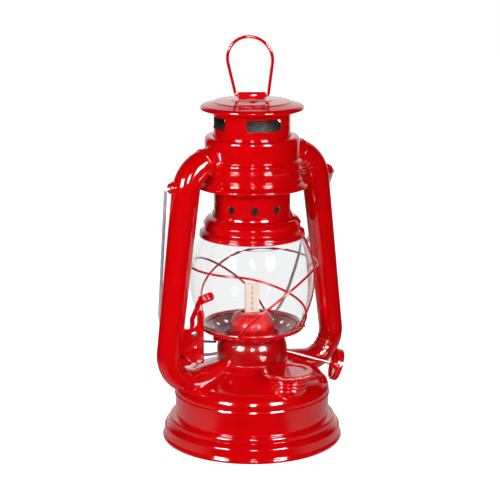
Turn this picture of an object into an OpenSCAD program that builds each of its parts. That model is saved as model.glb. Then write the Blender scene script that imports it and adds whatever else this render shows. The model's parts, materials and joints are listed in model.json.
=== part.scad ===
// Hurricane lantern: fuel tank, wick burner, lifting globe, sprung chimney and a swinging bail.
// Millimetres, +Z up. The origin is on the lantern's axis at the floor. The side tubes lie along X
// and the filler faces -Y. A turn is counted from the front (-Y) towards +X.

/* [Tank] */
// Radius of the rolled base rim
base_r = 58; // [57:0.5:62]
// Radius of the roll along the base rim
rim_roll_r = 1.5; // [1.2:0.1:1.8]
// Height of the flared foot
foot_h = 15; // [13:0.5:17]
// Lean of the foot's skirt, from the rim to its rounded shoulder
foot_lean = 3; // [2:0.5:3.5]
// Radius of the foot's shoulder
foot_round = 4; // [3:0.5:4.5]
// Radius of the tank wall
tank_r = 49.5; // [48:0.5:50]
// Height of the seam between the wall and the dome
tank_h = 33; // [30:0.5:36]
// Rise of the dome from the seam to the burner neck
dome_h = 18; // [16:0.5:20]
// Radius of the dome's shoulder
shoulder_r = 8; // [7:0.5:9]
// Thickness of the pressed sheet
sheet = 0.8; // [0.6:0.1:1]

/* [Filler] */
// Distance of the filler from the lantern's axis
filler_out = 40; // [39.5:0.5:42]
// Turn of the filler from the front
filler_turn = 2.5; // [-5:0.5:8]
// Radius of the filler's bore
filler_bore_r = 7.5; // [7:0.1:8]
// Radius of the filler neck's flared top
filler_top_r = 14; // [13:0.5:15]
// Radius of the cap
cap_r = 16.4; // [15:0.2:16.6]
// Thickness of the cap's knurled edge
cap_h = 3; // [2.5:0.5:4]
// Count of the grooves round the cap
cap_grooves = 40; // [24:4:48]
// Thickness of the cap's gasket
gasket_h = 0.8; // [0.6:0.1:1.2]

/* [Burner] */
// Radius of the burner drum
drum_r = 22; // [21:0.5:22.5]
// Height of the burner drum
drum_h = 16.5; // [15.5:0.5:18]
// Radius of the burner cone's skirt
cone_r = 15; // [13.5:0.5:16]
// Height of the burner cone above the drum
cone_h = 15.5; // [14:0.5:17]
// Width of the flat wick
wick_w = 9.5; // [9:0.5:12]
// Thickness of the wick
wick_t = 2; // [1.6:0.2:2.4]
// Height of the wick above the burner cone
wick_show = 18; // [12:0.5:20]
// Turn of the wick winder's shaft from the front
shaft_turn = 66; // [62:1:68]
// Downward tilt of the shaft
shaft_tilt = 17.5; // [16:0.5:18]
// Radius of the shaft
shaft_r = 1.2; // [1:0.1:1.4]
// Radius of the star wheels that bite the wick
wheel_r = 3.2; // [2.8:0.1:3.6]
// Distance of the knob's outer face beyond the tank wall's radius, along the shaft
knob_past = 11.7; // [10.9:0.2:14.5]
// Radius of the knob
knob_r = 10.5; // [9:0.5:11]
// Thickness of the knob's rim
knob_t = 4.5; // [3.5:0.5:5]

/* [Globe] */
// Largest radius of the glass globe
globe_r = 40.2; // [39:0.2:41]
// Radius of the curve of the globe's side
globe_curve = 59; // [57:1:62]
// Height from the globe's foot to its widest place
globe_low = 31.4; // [30:0.2:32]
// Height from the globe's widest place to its shoulder
globe_high = 26.5; // [25:0.5:28]
// Thickness of the glass
glass = 1.6; // [1.2:0.2:2]
// Gap between the glass and the globe plate's rim
plate_gap = 0.4; // [0.3:0.1:0.8]
// Rise of the globe plate from its flat to its ledge
plate_rise = 4.8; // [4:0.2:5.4]
// Count of the air holes in the globe plate
plate_holes = 20; // [12:2:24]
// Radius of the guard wire
guard_wire_r = 0.75; // [0.6:0.05:0.9]
// Height of the guard hoops above the globe plate's ledge
guard_h = 42; // [38:1:45]

/* [Side tubes] */
// Outward lean of the side tubes
tube_lean = 7.3; // [6.5:0.1:8]
// Radius of a side tube at its top bend
tube_top_r = 8.9; // [8.4:0.1:9.2]
// Radius of a side tube at its low bend
tube_low_r = 7.8; // [7.4:0.1:8.2]
// Radius of the top bend's centre line
top_bend_r = 20; // [18.5:0.5:21]
// Radius of the low bend's centre line
low_bend_r = 19; // [18:0.5:20]

/* [Lever] */
// Distance of the lever's pin from the lantern's axis
lever_out = 46; // [45:0.5:47]
// Radius of the lever's pin
lever_pin_r = 1.2; // [1:0.1:1.4]
// Width of the lever's strip
lever_w = 4.4; // [3.6:0.2:4.8]
// Radius of the lifting wire
lift_wire_r = 0.8; // [0.6:0.1:1]

/* [Chimney and hood] */
// Radius of the chimney tube
chimney_r = 24.3; // [23.5:0.1:24.6]
// Radius of the bell's rim
bell_r = 33.4; // [33:0.2:34.4]
// Radius of the bell's drum
bell_drum_r = 30.6; // [30.2:0.2:31]
// Height of the bell
bell_h = 13.7; // [13:0.1:15]
// Radius of the air chamber's lower drum
chamber_r = 31.5; // [31:0.1:32.5]
// Radius of the air chamber's upper drum
chamber_top_r = 29.9; // [29.4:0.1:30.4]
// Radius of the air chamber's bottom flange
flange_r = 35.5; // [34:0.5:37]
// Height of the air chamber
chamber_h = 32; // [31:0.5:34]
// Free height between the bell and the air chamber
lift_room = 18.6; // [18.4:0.2:21]
// Height of the chimney tube that shows between the air chamber and the hood
collar_h = 16.4; // [15:0.2:18]
// Count of the round holes above the bell
bell_holes = 10; // [8:1:12]
// Radius of a round hole above the bell
bell_hole_r = 2.5; // [2:0.1:3]
// Count of the slots under the hood
hood_slots = 4; // [3:1:5]
// Height of a slot under the hood
slot_h = 7.4; // [6:0.2:8]
// Radius of the hood
hood_r = 32.6; // [30:0.2:35]
// Rise of the hood above its lip
hood_rise = 6.2; // [5:0.2:7]
// Turn of the hood and its loop from the front
hood_turn = -32; // [-90:1:90]
// Radius of the chimney spring's wire
spring_wire_r = 0.6; // [0.5:0.1:0.7]
// Turns of the chimney spring
spring_turns = 5; // [4:1:6]

/* [Handles] */
// Radius of the lift loop's wire
loop_wire_r = 1; // [0.8:0.1:1.2]
// Radius of the round top of the lift loop
loop_r = 14; // [12:0.5:16]
// Height of the lift loop above its hinge
loop_h = 37.7; // [34:0.5:42]
// Length of the hood's knuckle
knuckle_w = 17; // [15:0.5:19]
// Radius of the bail's wire
bail_wire_r = 1.1; // [0.9:0.1:1.3]
// Distance of a bail arm from the side tube's widest point, at its hinge
bail_off = 4.8; // [4.3:0.5:6.8]
// Inward slope of the bail's arms
bail_slope = 7.7; // [7:0.1:8.5]
// Angle by which the hanging bail rests behind the middle of the dome's shoulder
bail_past = 3.3; // [2.6:0.1:3.6]

/* [Clearances] */
// Gap between pieces that move past each other
move_gap = 0.3; // [0.25:0.05:0.4]
// Radial gap round a pin that turns
pin_gap = 0.05; // [0.03:0.01:0.1]
// Gap between the chimney tube and the rings that guide it
guide_gap = 0.6; // [0.5:0.1:0.8]

/* [Hidden] */
$fn = 72;
red = [0.78, 0.01, 0.03];
steel = [0.75, 0.76, 0.78];
cut = 0.1;

// Heights, from the floor up
z_neck = tank_h + dome_h;
z_drum_top = z_neck + drum_h;
z_plate = z_drum_top + move_gap;
z_ledge = z_plate + plate_rise + sheet;
z_foot = z_ledge + 0.2;
z_mid = z_foot + globe_low;
z_shoulder = z_mid + globe_high;
z_bell = z_shoulder + 1.8;
z_bell_top = z_bell + bell_h;
z_chamber = z_bell_top + lift_room;
z_chamber_top = z_chamber + chamber_h;
z_hood = z_chamber_top + collar_h;
z_hood_top = z_hood + hood_rise;
z_cone_top = z_drum_top + cone_h;

// A path of [r, z] points with round stretches, and a sheet of even thickness along it
function arc(c, r, a0, a1, n = 8) =
    [for (i = [0 : n]) let (a = a0 + (a1 - a0) * i / n) c + r * [cos(a), sin(a)]];
function reversed(p) = [for (i = [len(p) - 1 : -1 : 0]) p[i]];
function side(p, q) = let (d = q - p) [d[1], -d[0]] / norm(d);
function shifted(p, t) = [for (i = [0 : len(p) - 1])
    let (last = len(p) - 1)
    let (a = i > 0 ? side(p[i - 1], p[i]) : side(p[0], p[1]))
    let (b = i < last ? side(p[i], p[i + 1]) : a)
    let (m = a + b)
    p[i] + t * m * 2 / (m * m)];
function sheet_outline(p, t) = concat(p, reversed(shifted(p, -t)));

module turned(outline) {
    rotate_extrude() polygon([for (p = outline) [max(0, p[0]), p[1]]]);
}

// The solid that a path encloses down to height z
module filled(path, z) {
    turned(concat([[0, z], [path[0][0], z]], path, [[0, path[len(path) - 1][1]]]));
}

// A round bar between two points
module bar(p, q, r) {
    d = q - p;
    translate(p)
        rotate([0, acos(d[2] / norm(d)), atan2(d[1], d[0])])
            cylinder(h = norm(d), r = r);
}

// A bent bar in the XZ plane: centre [x, z], centre line radius, bar radius and two angles
module bend(c, centre_r, r, a0, a1) {
    translate([c[0], 0, c[1]])
        rotate([90, 0, 0])
            rotate([0, 0, min(a0, a1)])
                rotate_extrude(angle = abs(a1 - a0))
                    translate([centre_r, 0])
                        circle(r);
}

function unit(v) = v / norm(v);
function mirrored(p) = [for (q = p) [-q[0], q[1], q[2]]];
function upright(p) = [for (q = p) [q[0], 0, q[1]]];

// A wire of flat-sided rings swept along points; each ring is set by a side direction, or by the way out
module swept(path, r, sides, side_way = [0, 0, 0]) {
    last = len(path) - 1;
    rings = [for (i = [0 : last])
        let (back = unit(path[max(i, 1)] - path[max(i, 1) - 1]))
        let (ahead = unit(path[min(i, last - 1) + 1] - path[min(i, last - 1)]))
        let (t = unit(back + ahead))
        let (out = norm(side_way) > 0 ? side_way : [path[i][0], path[i][1], 0])
        let (b = unit(cross(t, out)))
        let (n = cross(b, t))
        for (j = [0 : sides - 1])
            path[i] + r * (cos(360 * j / sides) * n + sin(360 * j / sides) * b)];
    skin = [for (i = [0 : last - 1], j = [0 : sides - 1])
        let (a = i * sides + j)
        let (b = i * sides + (j + 1) % sides)
        each [[a, a + sides, b + sides], [a, b + sides, b]]];
    low = [for (j = [1 : sides - 2]) [0, j, j + 1]];
    high = [for (j = [1 : sides - 2]) [last * sides, last * sides + j + 1, last * sides + j]];
    polyhedron(rings, concat(skin, low, high), convexity = 10);
}

// Tank
skirt_r = base_r - foot_lean;
skirt_low = [base_r - sheet, 2 * rim_roll_r];
skirt_high = [skirt_r, foot_h - foot_round];
groove = 1;
z_groove = tank_h - 3.5;
wall_path = concat([skirt_low],
    arc([skirt_r - foot_round, foot_h - foot_round], foot_round, 0, 90),
    [[tank_r, foot_h], [tank_r, z_groove - groove], [tank_r - groove, z_groove],
     [tank_r, z_groove + groove], [tank_r, tank_h]]);
seam_out = 0.5;
seam_h = 1.6;
dome_r = tank_r - seam_out;
z_dome = tank_h + seam_h + seam_out;
dome_path = concat([[tank_r + seam_out, tank_h], [tank_r + seam_out, tank_h + seam_h]],
    arc([dome_r - shoulder_r, z_dome], shoulder_r, 0, 70),
    [[drum_r + 8, z_neck - 3.4], [drum_r + 3, z_neck - 1.4], [drum_r + 0.5, z_neck],
     [drum_r - 3, z_neck]]);
z_bottom = 4;
skirt_slope = (skirt_low[0] - skirt_high[0]) / (skirt_high[1] - skirt_low[1]);
bottom_r = skirt_low[0] - skirt_slope * (z_bottom + sheet - skirt_low[1]) - 1.1 * sheet - 0.1;
z_lid = tank_h;
lid_r = tank_r + seam_out - sheet - 0.1;

module tank_wall() {
    roll = [base_r - rim_roll_r, 0.8 * rim_roll_r];
    flat = asin(0.8);
    color(red) {
        turned(sheet_outline(wall_path, sheet));
        turned(arc(roll, rim_roll_r, -flat, 180 + flat, 16));
    }
}

module tank_bottom() {
    ridge = 0.5;
    color(red)
        turned([[0, z_bottom], [bottom_r * 0.6, z_bottom], [bottom_r * 0.62, z_bottom - ridge],
            [bottom_r * 0.66, z_bottom - ridge], [bottom_r * 0.68, z_bottom], [bottom_r, z_bottom],
            [bottom_r, z_bottom + sheet], [0, z_bottom + sheet]]);
}

module tank_lid() {
    color(steel)
        difference() {
            translate([0, 0, z_lid]) cylinder(h = sheet, r = lid_r);
            at_filler()
                translate([0, 0, z_lid - cut])
                    cylinder(h = sheet + 2 * cut, r = filler_tube_r + pin_gap);
            at_wick() wick_slot(tube_slot_w, tube_slot_t, z_lid - cut, z_lid + sheet + cut);
        }
}

module tank_dome() {
    color(red)
        difference() {
            turned(sheet_outline(dome_path, sheet));
            at_filler() translate([0, 0, tank_h]) cylinder(h = dome_h + 10, r = filler_tube_r + pin_gap);
            for (s = [0, 1])
                mirror([s, 0, 0]) {
                    low_bend(-sheet);
                    stub(-sheet, stub_len - 3);
                }
        }
}

// Filler
z_filler = z_neck - 1;
filler_tube_r = filler_bore_r + sheet;
filler_foot_h = 11;
cap_plug_h = 5;

module at_filler() {
    rotate([0, 0, filler_turn]) translate([0, -filler_out, 0]) children();
}

module filler_neck() {
    color(red)
        difference() {
            union() {
                difference() {
                    at_filler() translate([0, 0, z_filler - filler_foot_h])
                        cylinder(h = filler_foot_h, r1 = filler_tube_r + 0.6, r2 = filler_top_r);
                    filled(dome_path, 0);
                }
                at_filler()
                    translate([0, 0, z_lid])
                        cylinder(h = z_filler - z_lid, r = filler_tube_r);
            }
            at_filler() translate([0, 0, z_lid - cut]) cylinder(h = dome_h + 10, r = filler_bore_r);
        }
}

module filler_gasket() {
    color([0.15, 0.14, 0.13])
        at_filler() translate([0, 0, z_filler])
            difference() {
                cylinder(h = gasket_h, r = filler_top_r - 1);
                translate([0, 0, -cut]) cylinder(h = gasket_h + 2 * cut, r = filler_bore_r);
            }
}

module filler_cap() {
    groove_r = 0.6;
    plug_r = filler_bore_r - move_gap;
    rim = 1.8;
    color(red)
        at_filler() translate([0, 0, z_filler + gasket_h])
            difference() {
                union() {
                    turned([[0, 0], [cap_r, 0], [cap_r, cap_h - 0.4], [cap_r - 0.4, cap_h],
                        [cap_r - rim, cap_h], [cap_r - rim - 0.6, cap_h - 0.6],
                        [cap_r - rim - 2, cap_h - 0.6], [cap_r - rim - 4, cap_h], [0, cap_h + 0.3]]);
                    translate([0, 0, -cap_plug_h]) cylinder(h = cap_plug_h + cut, r = plug_r);
                }
                translate([0, 0, -cap_plug_h - cut]) cylinder(h = cap_plug_h + cut, r = plug_r - 1.2);
                for (i = [0 : cap_grooves - 1])
                    rotate([0, 0, 360 * i / cap_grooves])
                        translate([cap_r + groove_r * 0.3, 0, -cut])
                            cylinder(h = cap_h + 2 * cut, r = groove_r, $fn = 16);
            }
}

// Burner
collar_t = 0.9;
bulge = 0.6;
flange_in = 4.5;
drum_path = [[drum_r, z_neck], [drum_r + bulge * 0.7, z_neck + drum_h * 0.25],
    [drum_r + bulge, z_neck + drum_h * 0.5], [drum_r + bulge * 0.6, z_neck + drum_h * 0.8],
    [drum_r - 1, z_drum_top], [drum_r - flange_in, z_drum_top]];
wick_tube_w = wick_w + 2 * move_gap + 1.2;
wick_tube_t = wick_t + 2 * move_gap + 1.2;
tube_slot_w = wick_tube_w + 2 * pin_gap;
tube_slot_t = wick_tube_t + 2 * pin_gap;
shaft_in = wick_t / 2 + move_gap + wheel_r;
knob_out = tank_r + knob_past;
z_shaft = z_neck + 10.2;
bush_r = 2.2;
bush_at = drum_r + bulge;

// The wick's frame: X along the wick's width and the shaft, Y to the star wheels' side
module at_wick() {
    rotate([0, 0, shaft_turn - 90]) children();
}

// The shaft's frame: Z along the shaft, outwards
module at_shaft() {
    at_wick() translate([0, shaft_in, z_shaft]) rotate([0, 90 + shaft_tilt, 0]) children();
}

module wick_slot(w, t, low, high) {
    translate([-w / 2, -t / 2, low]) cube([w, t, high - low]);
}

module burner_collar() {
    color(red)
        difference() {
            translate([0, 0, z_neck]) cylinder(h = 1.6, r = drum_r + collar_t);
            filled(drum_path, z_neck - cut);
            at_shaft() cylinder(h = 2 * drum_r, r = bush_r + pin_gap);
        }
}

module burner_drum() {
    color(red)
        difference() {
            turned(sheet_outline(drum_path, sheet));
            at_shaft() cylinder(h = 2 * drum_r, r = bush_r);
        }
}

module burner_plate() {
    plate_out = drum_r - 2.5;
    holes = 14;
    color([0.72, 0.6, 0.3])
        translate([0, 0, z_drum_top - 2 * sheet])
            difference() {
                cylinder(h = sheet, r = plate_out);
                at_wick() wick_slot(tube_slot_w, tube_slot_t, -cut, sheet + cut);
                for (i = [0 : holes - 1])
                    rotate([0, 0, 360 * (i + 0.5) / holes])
                        translate([cone_r * 0.72, 0, -cut])
                            cylinder(h = sheet + 2 * cut, r = 1.4);
            }
}

module burner_cone() {
    top_r = wick_w / 2 + 2.6;
    skirt_h = 3;
    foot = z_drum_top - sheet;
    rise = z_cone_top - foot - skirt_h;
    path = concat([[cone_r, foot]],
        [for (a = [0 : 13 : 78]) [top_r + (cone_r - top_r) * cos(a), foot + skirt_h + rise * sin(a)]],
        [[top_r, z_cone_top], [0, z_cone_top]]);
    color(red)
        difference() {
            turned(sheet_outline(path, sheet));
            at_wick() wick_slot(wick_w + 3, wick_t + 3, foot + skirt_h, z_cone_top + 2);
        }
}

module wick_tube() {
    z_low = z_lid - 3;
    z_high = z_cone_top - 2;
    color([0.72, 0.6, 0.3])
        at_wick()
            difference() {
                wick_slot(wick_tube_w, wick_tube_t, z_low, z_high);
                wick_slot(wick_w + 2 * move_gap, wick_t + 2 * move_gap, z_low - cut, z_high + cut);
                translate([-wick_tube_w, 0, z_shaft - 6.5]) cube([2 * wick_tube_w, 10, 13]);
            }
}

module wick() {
    z_top = z_cone_top + wick_show;
    z_low = z_bottom + sheet + 17;
    corner = 1.5;
    half = wick_w / 2;
    color([0.93, 0.88, 0.76])
        at_wick()
            translate([0, wick_t / 2, 0])
                rotate([90, 0, 0])
                    linear_extrude(wick_t)
                        polygon(concat([[-half, z_low], [half, z_low]],
                            arc([half - corner, z_top - corner], corner, 0, 90),
                            arc([corner - half, z_top - corner], corner, 90, 180)));
}

module shaft_bush() {
    color(steel)
        difference() {
            intersection() {
                at_shaft() translate([0, 0, bush_at - 4]) cylinder(h = 7, r = bush_r);
                cylinder(h = z_plate, r = drum_r + collar_t);
            }
            at_shaft() translate([0, 0, bush_at - 5]) cylinder(h = 10, r = shaft_r + pin_gap);
        }
}

module wick_shaft() {
    inner_end = wick_w / 2 + 3;
    color(red)
        at_shaft() translate([0, 0, -inner_end]) cylinder(h = inner_end + knob_out, r = shaft_r);
}

module wick_wheels() {
    teeth = 8;
    wheel_t = 0.9;
    step = wick_w / 3;
    color([0.72, 0.6, 0.3])
        at_shaft()
            for (k = [-1 : 1])
                translate([0, 0, k * step - wheel_t / 2])
                    difference() {
                        linear_extrude(wheel_t)
                            polygon([for (i = [0 : 2 * teeth - 1])
                                let (r = i % 2 == 0 ? wheel_r : wheel_r * 0.72)
                                r * [cos(180 * i / teeth), sin(180 * i / teeth)]]);
                        translate([0, 0, -cut]) cylinder(h = wheel_t + 2 * cut, r = shaft_r);
                    }
}

module wick_knob() {
    rim = 1.8;
    web = 1.2;
    hub_r = shaft_r + 1.4;
    hub = 1.6;
    color(red)
        at_shaft() translate([0, 0, knob_out - knob_t])
            turned([[shaft_r, -hub], [hub_r, -hub], [hub_r, 0], [knob_r - 0.5, 0], [knob_r, 0.5],
                [knob_r, knob_t * 0.36], [knob_r - 0.4, knob_t * 0.5], [knob_r, knob_t * 0.64],
                [knob_r, knob_t - 0.5], [knob_r - 0.5, knob_t], [knob_r - rim, knob_t],
                [knob_r - rim - 0.4, web], [hub_r, web], [hub_r, knob_t], [shaft_r, knob_t]]);
}

// Globe and its carriage
globe_neck_r = bell_drum_r - sheet - 0.6;
function globe_r_at(z) = globe_r - globe_curve + sqrt(globe_curve * globe_curve - (z - z_mid) * (z - z_mid));
plate_lip = 2.4;
z_lip = z_plate + plate_rise + plate_lip;
plate_r = globe_r_at(z_lip) + plate_gap + sheet;
ledge_w = 3.9;
plate_in = drum_r - flange_in + 0.4;
flat_r = drum_r + 1.1;
ledge_r = plate_r - ledge_w;
plate_path = [[plate_in, z_plate], [flat_r, z_plate], [ledge_r, z_plate + plate_rise],
    [plate_r, z_plate + plate_rise], [plate_r, z_lip]];
globe_down = -asin(globe_low / globe_curve);
globe_up = asin(globe_high / globe_curve);
globe_path = concat(
    arc([globe_r - globe_curve, z_mid], globe_curve, globe_down, globe_up, 20),
    [[globe_neck_r, z_shoulder + 4.1], [globe_neck_r, z_shoulder + 7]]);

module globe_plate() {
    hole_r = 1.5;
    mid = ([flat_r, z_plate] + [ledge_r, z_plate + plate_rise]) / 2;
    slope = atan2(plate_rise, ledge_r - flat_r);
    color(red)
        difference() {
            turned(sheet_outline(plate_path, sheet));
            for (i = [0 : plate_holes - 1])
                rotate([0, 0, 360 * (i + 0.5) / plate_holes])
                    translate([mid[0], 0, mid[1]])
                        rotate([0, -slope, 0])
                            translate([0, 0, -2])
                                cylinder(h = 4 + sheet, r = hole_r, $fn = 24);
        }
}

module globe() {
    color([0.85, 0.9, 0.92, 0.3]) turned(sheet_outline(globe_path, glass));
}

// A guard hoop: level round one side tube, then falling along the glass to the plate's rim
guard_end = 137;
guard_level = 45;
guard_gap = 0.4;
guard_low = z_ledge + 1.1;
function guard_fall(a) = pow(max(0, abs(a) - guard_level) / (guard_end - guard_level), 1.9);
function guard_z(a) = z_ledge + guard_h - (z_ledge + guard_h - guard_low) * guard_fall(a);
function guard_r(a, layer) =
    let (glass_r = max(globe_r_at(guard_z(a)), plate_r))
    let (fade = max(0, min(1, (guard_end - 4 - abs(a)) / 22)))
    glass_r + guard_wire_r + 0.05 + fade * (guard_gap + layer * (2 * guard_wire_r + 0.15));

module guard_wire(turn, layer) {
    steps = 40;
    path = [for (i = [-steps : steps])
        let (a = guard_end * i / steps)
        let (r = guard_r(a, layer))
        [r * cos(a + turn), r * sin(a + turn), guard_z(a)]];
    color(red) swept(path, guard_wire_r, 8);
}

module guard_wire_left() {
    guard_wire(180, 0);
}

module guard_wire_right() {
    guard_wire(0, 1);
}

// Side tubes: centres of the two bends, and the straight stretch between them
tube_sink = 3.2;
tube_rise = 18.4;
top_centre = [chamber_r - tube_sink, z_chamber + tube_rise - top_bend_r];
lean_out = [cos(tube_lean), sin(tube_lean)];
straight_top = top_centre + top_bend_r * lean_out;
z_low_centre = tank_h + 2.8 + low_bend_r + tube_low_r;
z_straight_low = z_low_centre + low_bend_r * lean_out[1];
straight_low = [straight_top[0] + tan(tube_lean) * (straight_top[1] - z_straight_low), z_straight_low];
low_centre = straight_low - low_bend_r * lean_out;
straight_len = norm(straight_top - straight_low);
stub_rise = 8;
stub_low = low_centre - low_bend_r * [sin(stub_rise), cos(stub_rise)];
stub_len = stub_low[0] - drum_r + 4;
joint_gap = 0.01;

function tube_x_at(z) = straight_low[0] - tan(tube_lean) * (z - straight_low[1]);

// The stretches of a side tube at +X, each with its radius changed by grow
module top_bend(grow) {
    bend(top_centre, top_bend_r, tube_top_r + grow, tube_lean, 90);
}

module straight(grow) {
    translate([straight_low[0], 0, straight_low[1]])
        rotate([0, -tube_lean, 0])
            translate([0, 0, joint_gap])
                cylinder(h = straight_len - 2 * joint_gap, r1 = tube_low_r + grow, r2 = tube_top_r + grow);
}

module low_bend(grow) {
    bend(low_centre, low_bend_r, tube_low_r + grow, -90 - stub_rise, tube_lean);
}

module stub(grow, length) {
    translate([stub_low[0], 0, stub_low[1]])
        rotate([0, stub_rise - 90, 0])
            translate([0, 0, joint_gap])
                cylinder(h = length, r = tube_low_r + grow);
}

// A ring inside the tube's wall that ties two stretches together, at a point and a lean
module tie(p, lean, r) {
    long = 1.6;
    translate([p[0], 0, p[1]])
        rotate([0, -lean, 0])
            translate([0, 0, -long / 2])
                difference() {
                    cylinder(h = long, r = r - sheet * 0.25);
                    translate([0, 0, -cut]) cylinder(h = long + 2 * cut, r = r - sheet * 0.75);
                }
}

module side_tube() {
    color(red) {
        difference() {
            top_bend(0);
            top_bend(-sheet);
            filled(chamber_path, z_chamber);
        }
        difference() {
            straight(0);
            straight(-sheet);
        }
        difference() {
            low_bend(0);
            low_bend(-sheet);
            filled(dome_path, 0);
        }
        difference() {
            stub(0, stub_len);
            stub(-sheet, stub_len - 3);
            filled(dome_path, 0);
            cylinder(h = z_plate, r = drum_r + collar_t + 0.1);
        }
        tie(straight_top, tube_lean, tube_top_r);
        tie(straight_low, tube_lean, tube_low_r);
        difference() {
            tie(stub_low, 90 - stub_rise, tube_low_r);
            filled(dome_path, 0);
        }
    }
}

module tube_right() {
    side_tube();
}

module tube_left() {
    mirror([1, 0, 0]) side_tube();
}

// Ears for the bail, on the outside of the top bends
ear_r = 3.4;
z_ear = top_centre[1] + 5.5;
bail_elbow = 1.8;
bail_x = top_centre[0] + top_bend_r + tube_top_r + bail_off;
bail_in = [cos(bail_slope), sin(bail_slope)];
elbow_c = [bail_x, 0] - bail_elbow * bail_in;
ear_tip = elbow_c[0] - 0.2;

module ear() {
    root = top_centre[0] + top_bend_r;
    long = ear_tip - root;
    color(red)
        difference() {
            translate([root, 0, z_ear])
                rotate([0, 90, 0])
                    turned([[0, 0], [ear_r + 0.8, 0], [ear_r + 0.8, long - 2.4], [ear_r, long - 1.2],
                        [ear_r, long - 0.6], [ear_r - 0.6, long], [0, long]]);
            top_bend(0);
            straight(0);
            bar([0, 0, z_ear], [2 * bail_x, 0, z_ear], bail_wire_r + pin_gap);
        }
}

module ear_right() {
    ear();
}

module ear_left() {
    mirror([1, 0, 0]) ear();
}

// Bail: two pins, two arms that lean in and a round crown, drawn upright and turned to hang.
// Its length lets the crown rest on the shoulder of the dome.
shoulder_c = [dome_r - shoulder_r, z_dome - z_ear];
shoulder_turn = atan2(shoulder_c[0], -shoulder_c[1]);
bail_hang = shoulder_turn + bail_past;
rest_r = shoulder_r + bail_wire_r + move_gap;
shoulder_side = norm(shoulder_c) * sin(bail_past);
bail_len = norm(shoulder_c) * cos(bail_past) - sqrt(rest_r * rest_r - shoulder_side * shoulder_side);
pin_z = elbow_c[1] - bail_elbow;
crown_top = bail_len + pin_z;
crown_r = (bail_x - crown_top * tan(bail_slope)) / (bail_in[0] + (bail_in[1] - 1) * tan(bail_slope));
crown_z = crown_top - crown_r;
bail_pin_in = top_centre[0] + top_bend_r + tube_top_r + 0.4;
bail_half = concat([[bail_pin_in, pin_z]],
    arc(elbow_c, bail_elbow, -90, bail_slope, 6),
    arc([0, crown_z], crown_r, bail_slope, 88, 14));

module bail() {
    path = concat(upright(bail_half), reversed(mirrored(upright(bail_half))));
    color(steel)
        translate([0, 0, z_ear])
            rotate([180 + bail_hang, 0, 0])
                translate([0, 0, -pin_z])
                    swept(path, bail_wire_r, 16, [0, 1, 0]);
}

// Lever on the left tube: a bracket plate, the lever behind it and a wire to the globe plate
z_pin = z_plate + 8.2;
bracket_y = -5.4;
bracket_t = 1;
bracket_low = z_pin - 20;
bracket_step = z_pin + 4;
bracket_high = z_pin + 15;
lug_in = lever_out - 7;
lug_out = lever_out - 2.6;
lever_t = 1.2;
lever_y = bracket_y + bracket_t + move_gap;
stop_rivet = [1.1 - lever_out, z_pin - 9.1];
foot_rivet = [-4 - lever_out, z_pin - 16.5];
rivet_r = 1.2;

// A plate in the XZ plane, from y to y + t
module xz_plate(y, t, outline) {
    translate([0, y + t, 0]) rotate([90, 0, 0]) linear_extrude(t) polygon(outline);
}

module lever_bracket() {
    round_r = (lug_out - lug_in) / 2;
    wide = lever_out + 12;
    color(red)
        difference() {
            union() {
                xz_plate(bracket_y, bracket_t, concat(
                    [[-wide, bracket_low], [-lug_in, bracket_low]],
                    arc([-lug_in - round_r, bracket_high - round_r], round_r, 0, 180),
                    [[-lug_out, bracket_step + 2], [-lug_out - 2, bracket_step], [-wide, bracket_step]]));
                intersection() {
                    mirror([1, 0, 0]) straight(sheet);
                    translate([-tube_x_at(z_pin), bracket_y, straight_low[1] + 1])
                        cube([2 * tube_low_r, 4 - bracket_y, bracket_step - straight_low[1] - 1]);
                }
            }
            mirror([1, 0, 0]) straight(0);
            mirror([1, 0, 0]) low_bend(0);
            bar([-lever_out, 10, z_pin], [-lever_out, -10, z_pin], lever_pin_r);
            for (p = [stop_rivet, foot_rivet])
                bar([p[0], bracket_y + bracket_t + cut, p[1]], [p[0], -10, p[1]], rivet_r);
        }
}

module rivet(p, shank) {
    head = 1.2;
    translate([p[0], bracket_y, p[1]])
        rotate([90, 0, 0])
            turned([[0, -shank], [rivet_r, -shank], [rivet_r, 0], [rivet_r + 0.9, 0],
                [rivet_r + 0.7, head * 0.5], [rivet_r, head * 0.85], [0, head]]);
}

module bracket_rivets() {
    color(red)
        for (p = [stop_rivet, foot_rivet]) rivet(p, bracket_t);
}

module lever_pin() {
    low = bracket_y - lever_y - lever_t - move_gap;
    head = 0.8;
    back_r = lever_pin_r + 0.5;
    color(steel)
        translate([-lever_out, bracket_y, z_pin])
            rotate([90, 0, 0])
                turned([[0, low - head], [back_r, low - head], [back_r, low],
                    [lever_pin_r, low], [lever_pin_r, 0], [lever_pin_r + 1, 0], [lever_pin_r + 0.6, head],
                    [0, head + 0.2]]);
}

// The thumb tab: from the top of the strip forward along the glass
tab_root = [4 - lever_out, z_pin + 19];
tab_run = [4.2, -14, 0];
tab_h = 5.4;
tab_climb = 26;

module lever() {
    hub_r = 3.4;
    half = lever_w / 2;
    rise = z_pin + 9;
    strip = concat(
        [[half - 1 - lever_out, z_pin], [half - 1 - lever_out, rise]],
        [[tab_root[0] + half - 1, tab_root[1] - 3], [tab_root[0] + half - 0.4, tab_root[1] + 2]],
        [[tab_root[0] - 0.4, tab_root[1] + 2], [tab_root[0] - half + 0.2, tab_root[1] - 2]],
        [[0.4 - half - lever_out, rise + 1], [0.4 - half - lever_out, z_pin]]);
    color(red)
        difference() {
            union() {
                xz_plate(lever_y, lever_t, strip);
                translate([-lever_out, lever_y + lever_t, z_pin])
                    rotate([90, 0, 0])
                        cylinder(h = lever_t, r = hub_r);
                translate([tab_root[0], lever_y, tab_root[1] - 1.5])
                    rotate([0, 0, atan2(tab_run[1], tab_run[0])])
                        rotate([0, -tab_climb, 0])
                            thumb_tab(norm(tab_run));
            }
            bar([-lever_out, 10, z_pin], [-lever_out, -10, z_pin], lever_pin_r + pin_gap);
        }
}

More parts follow.
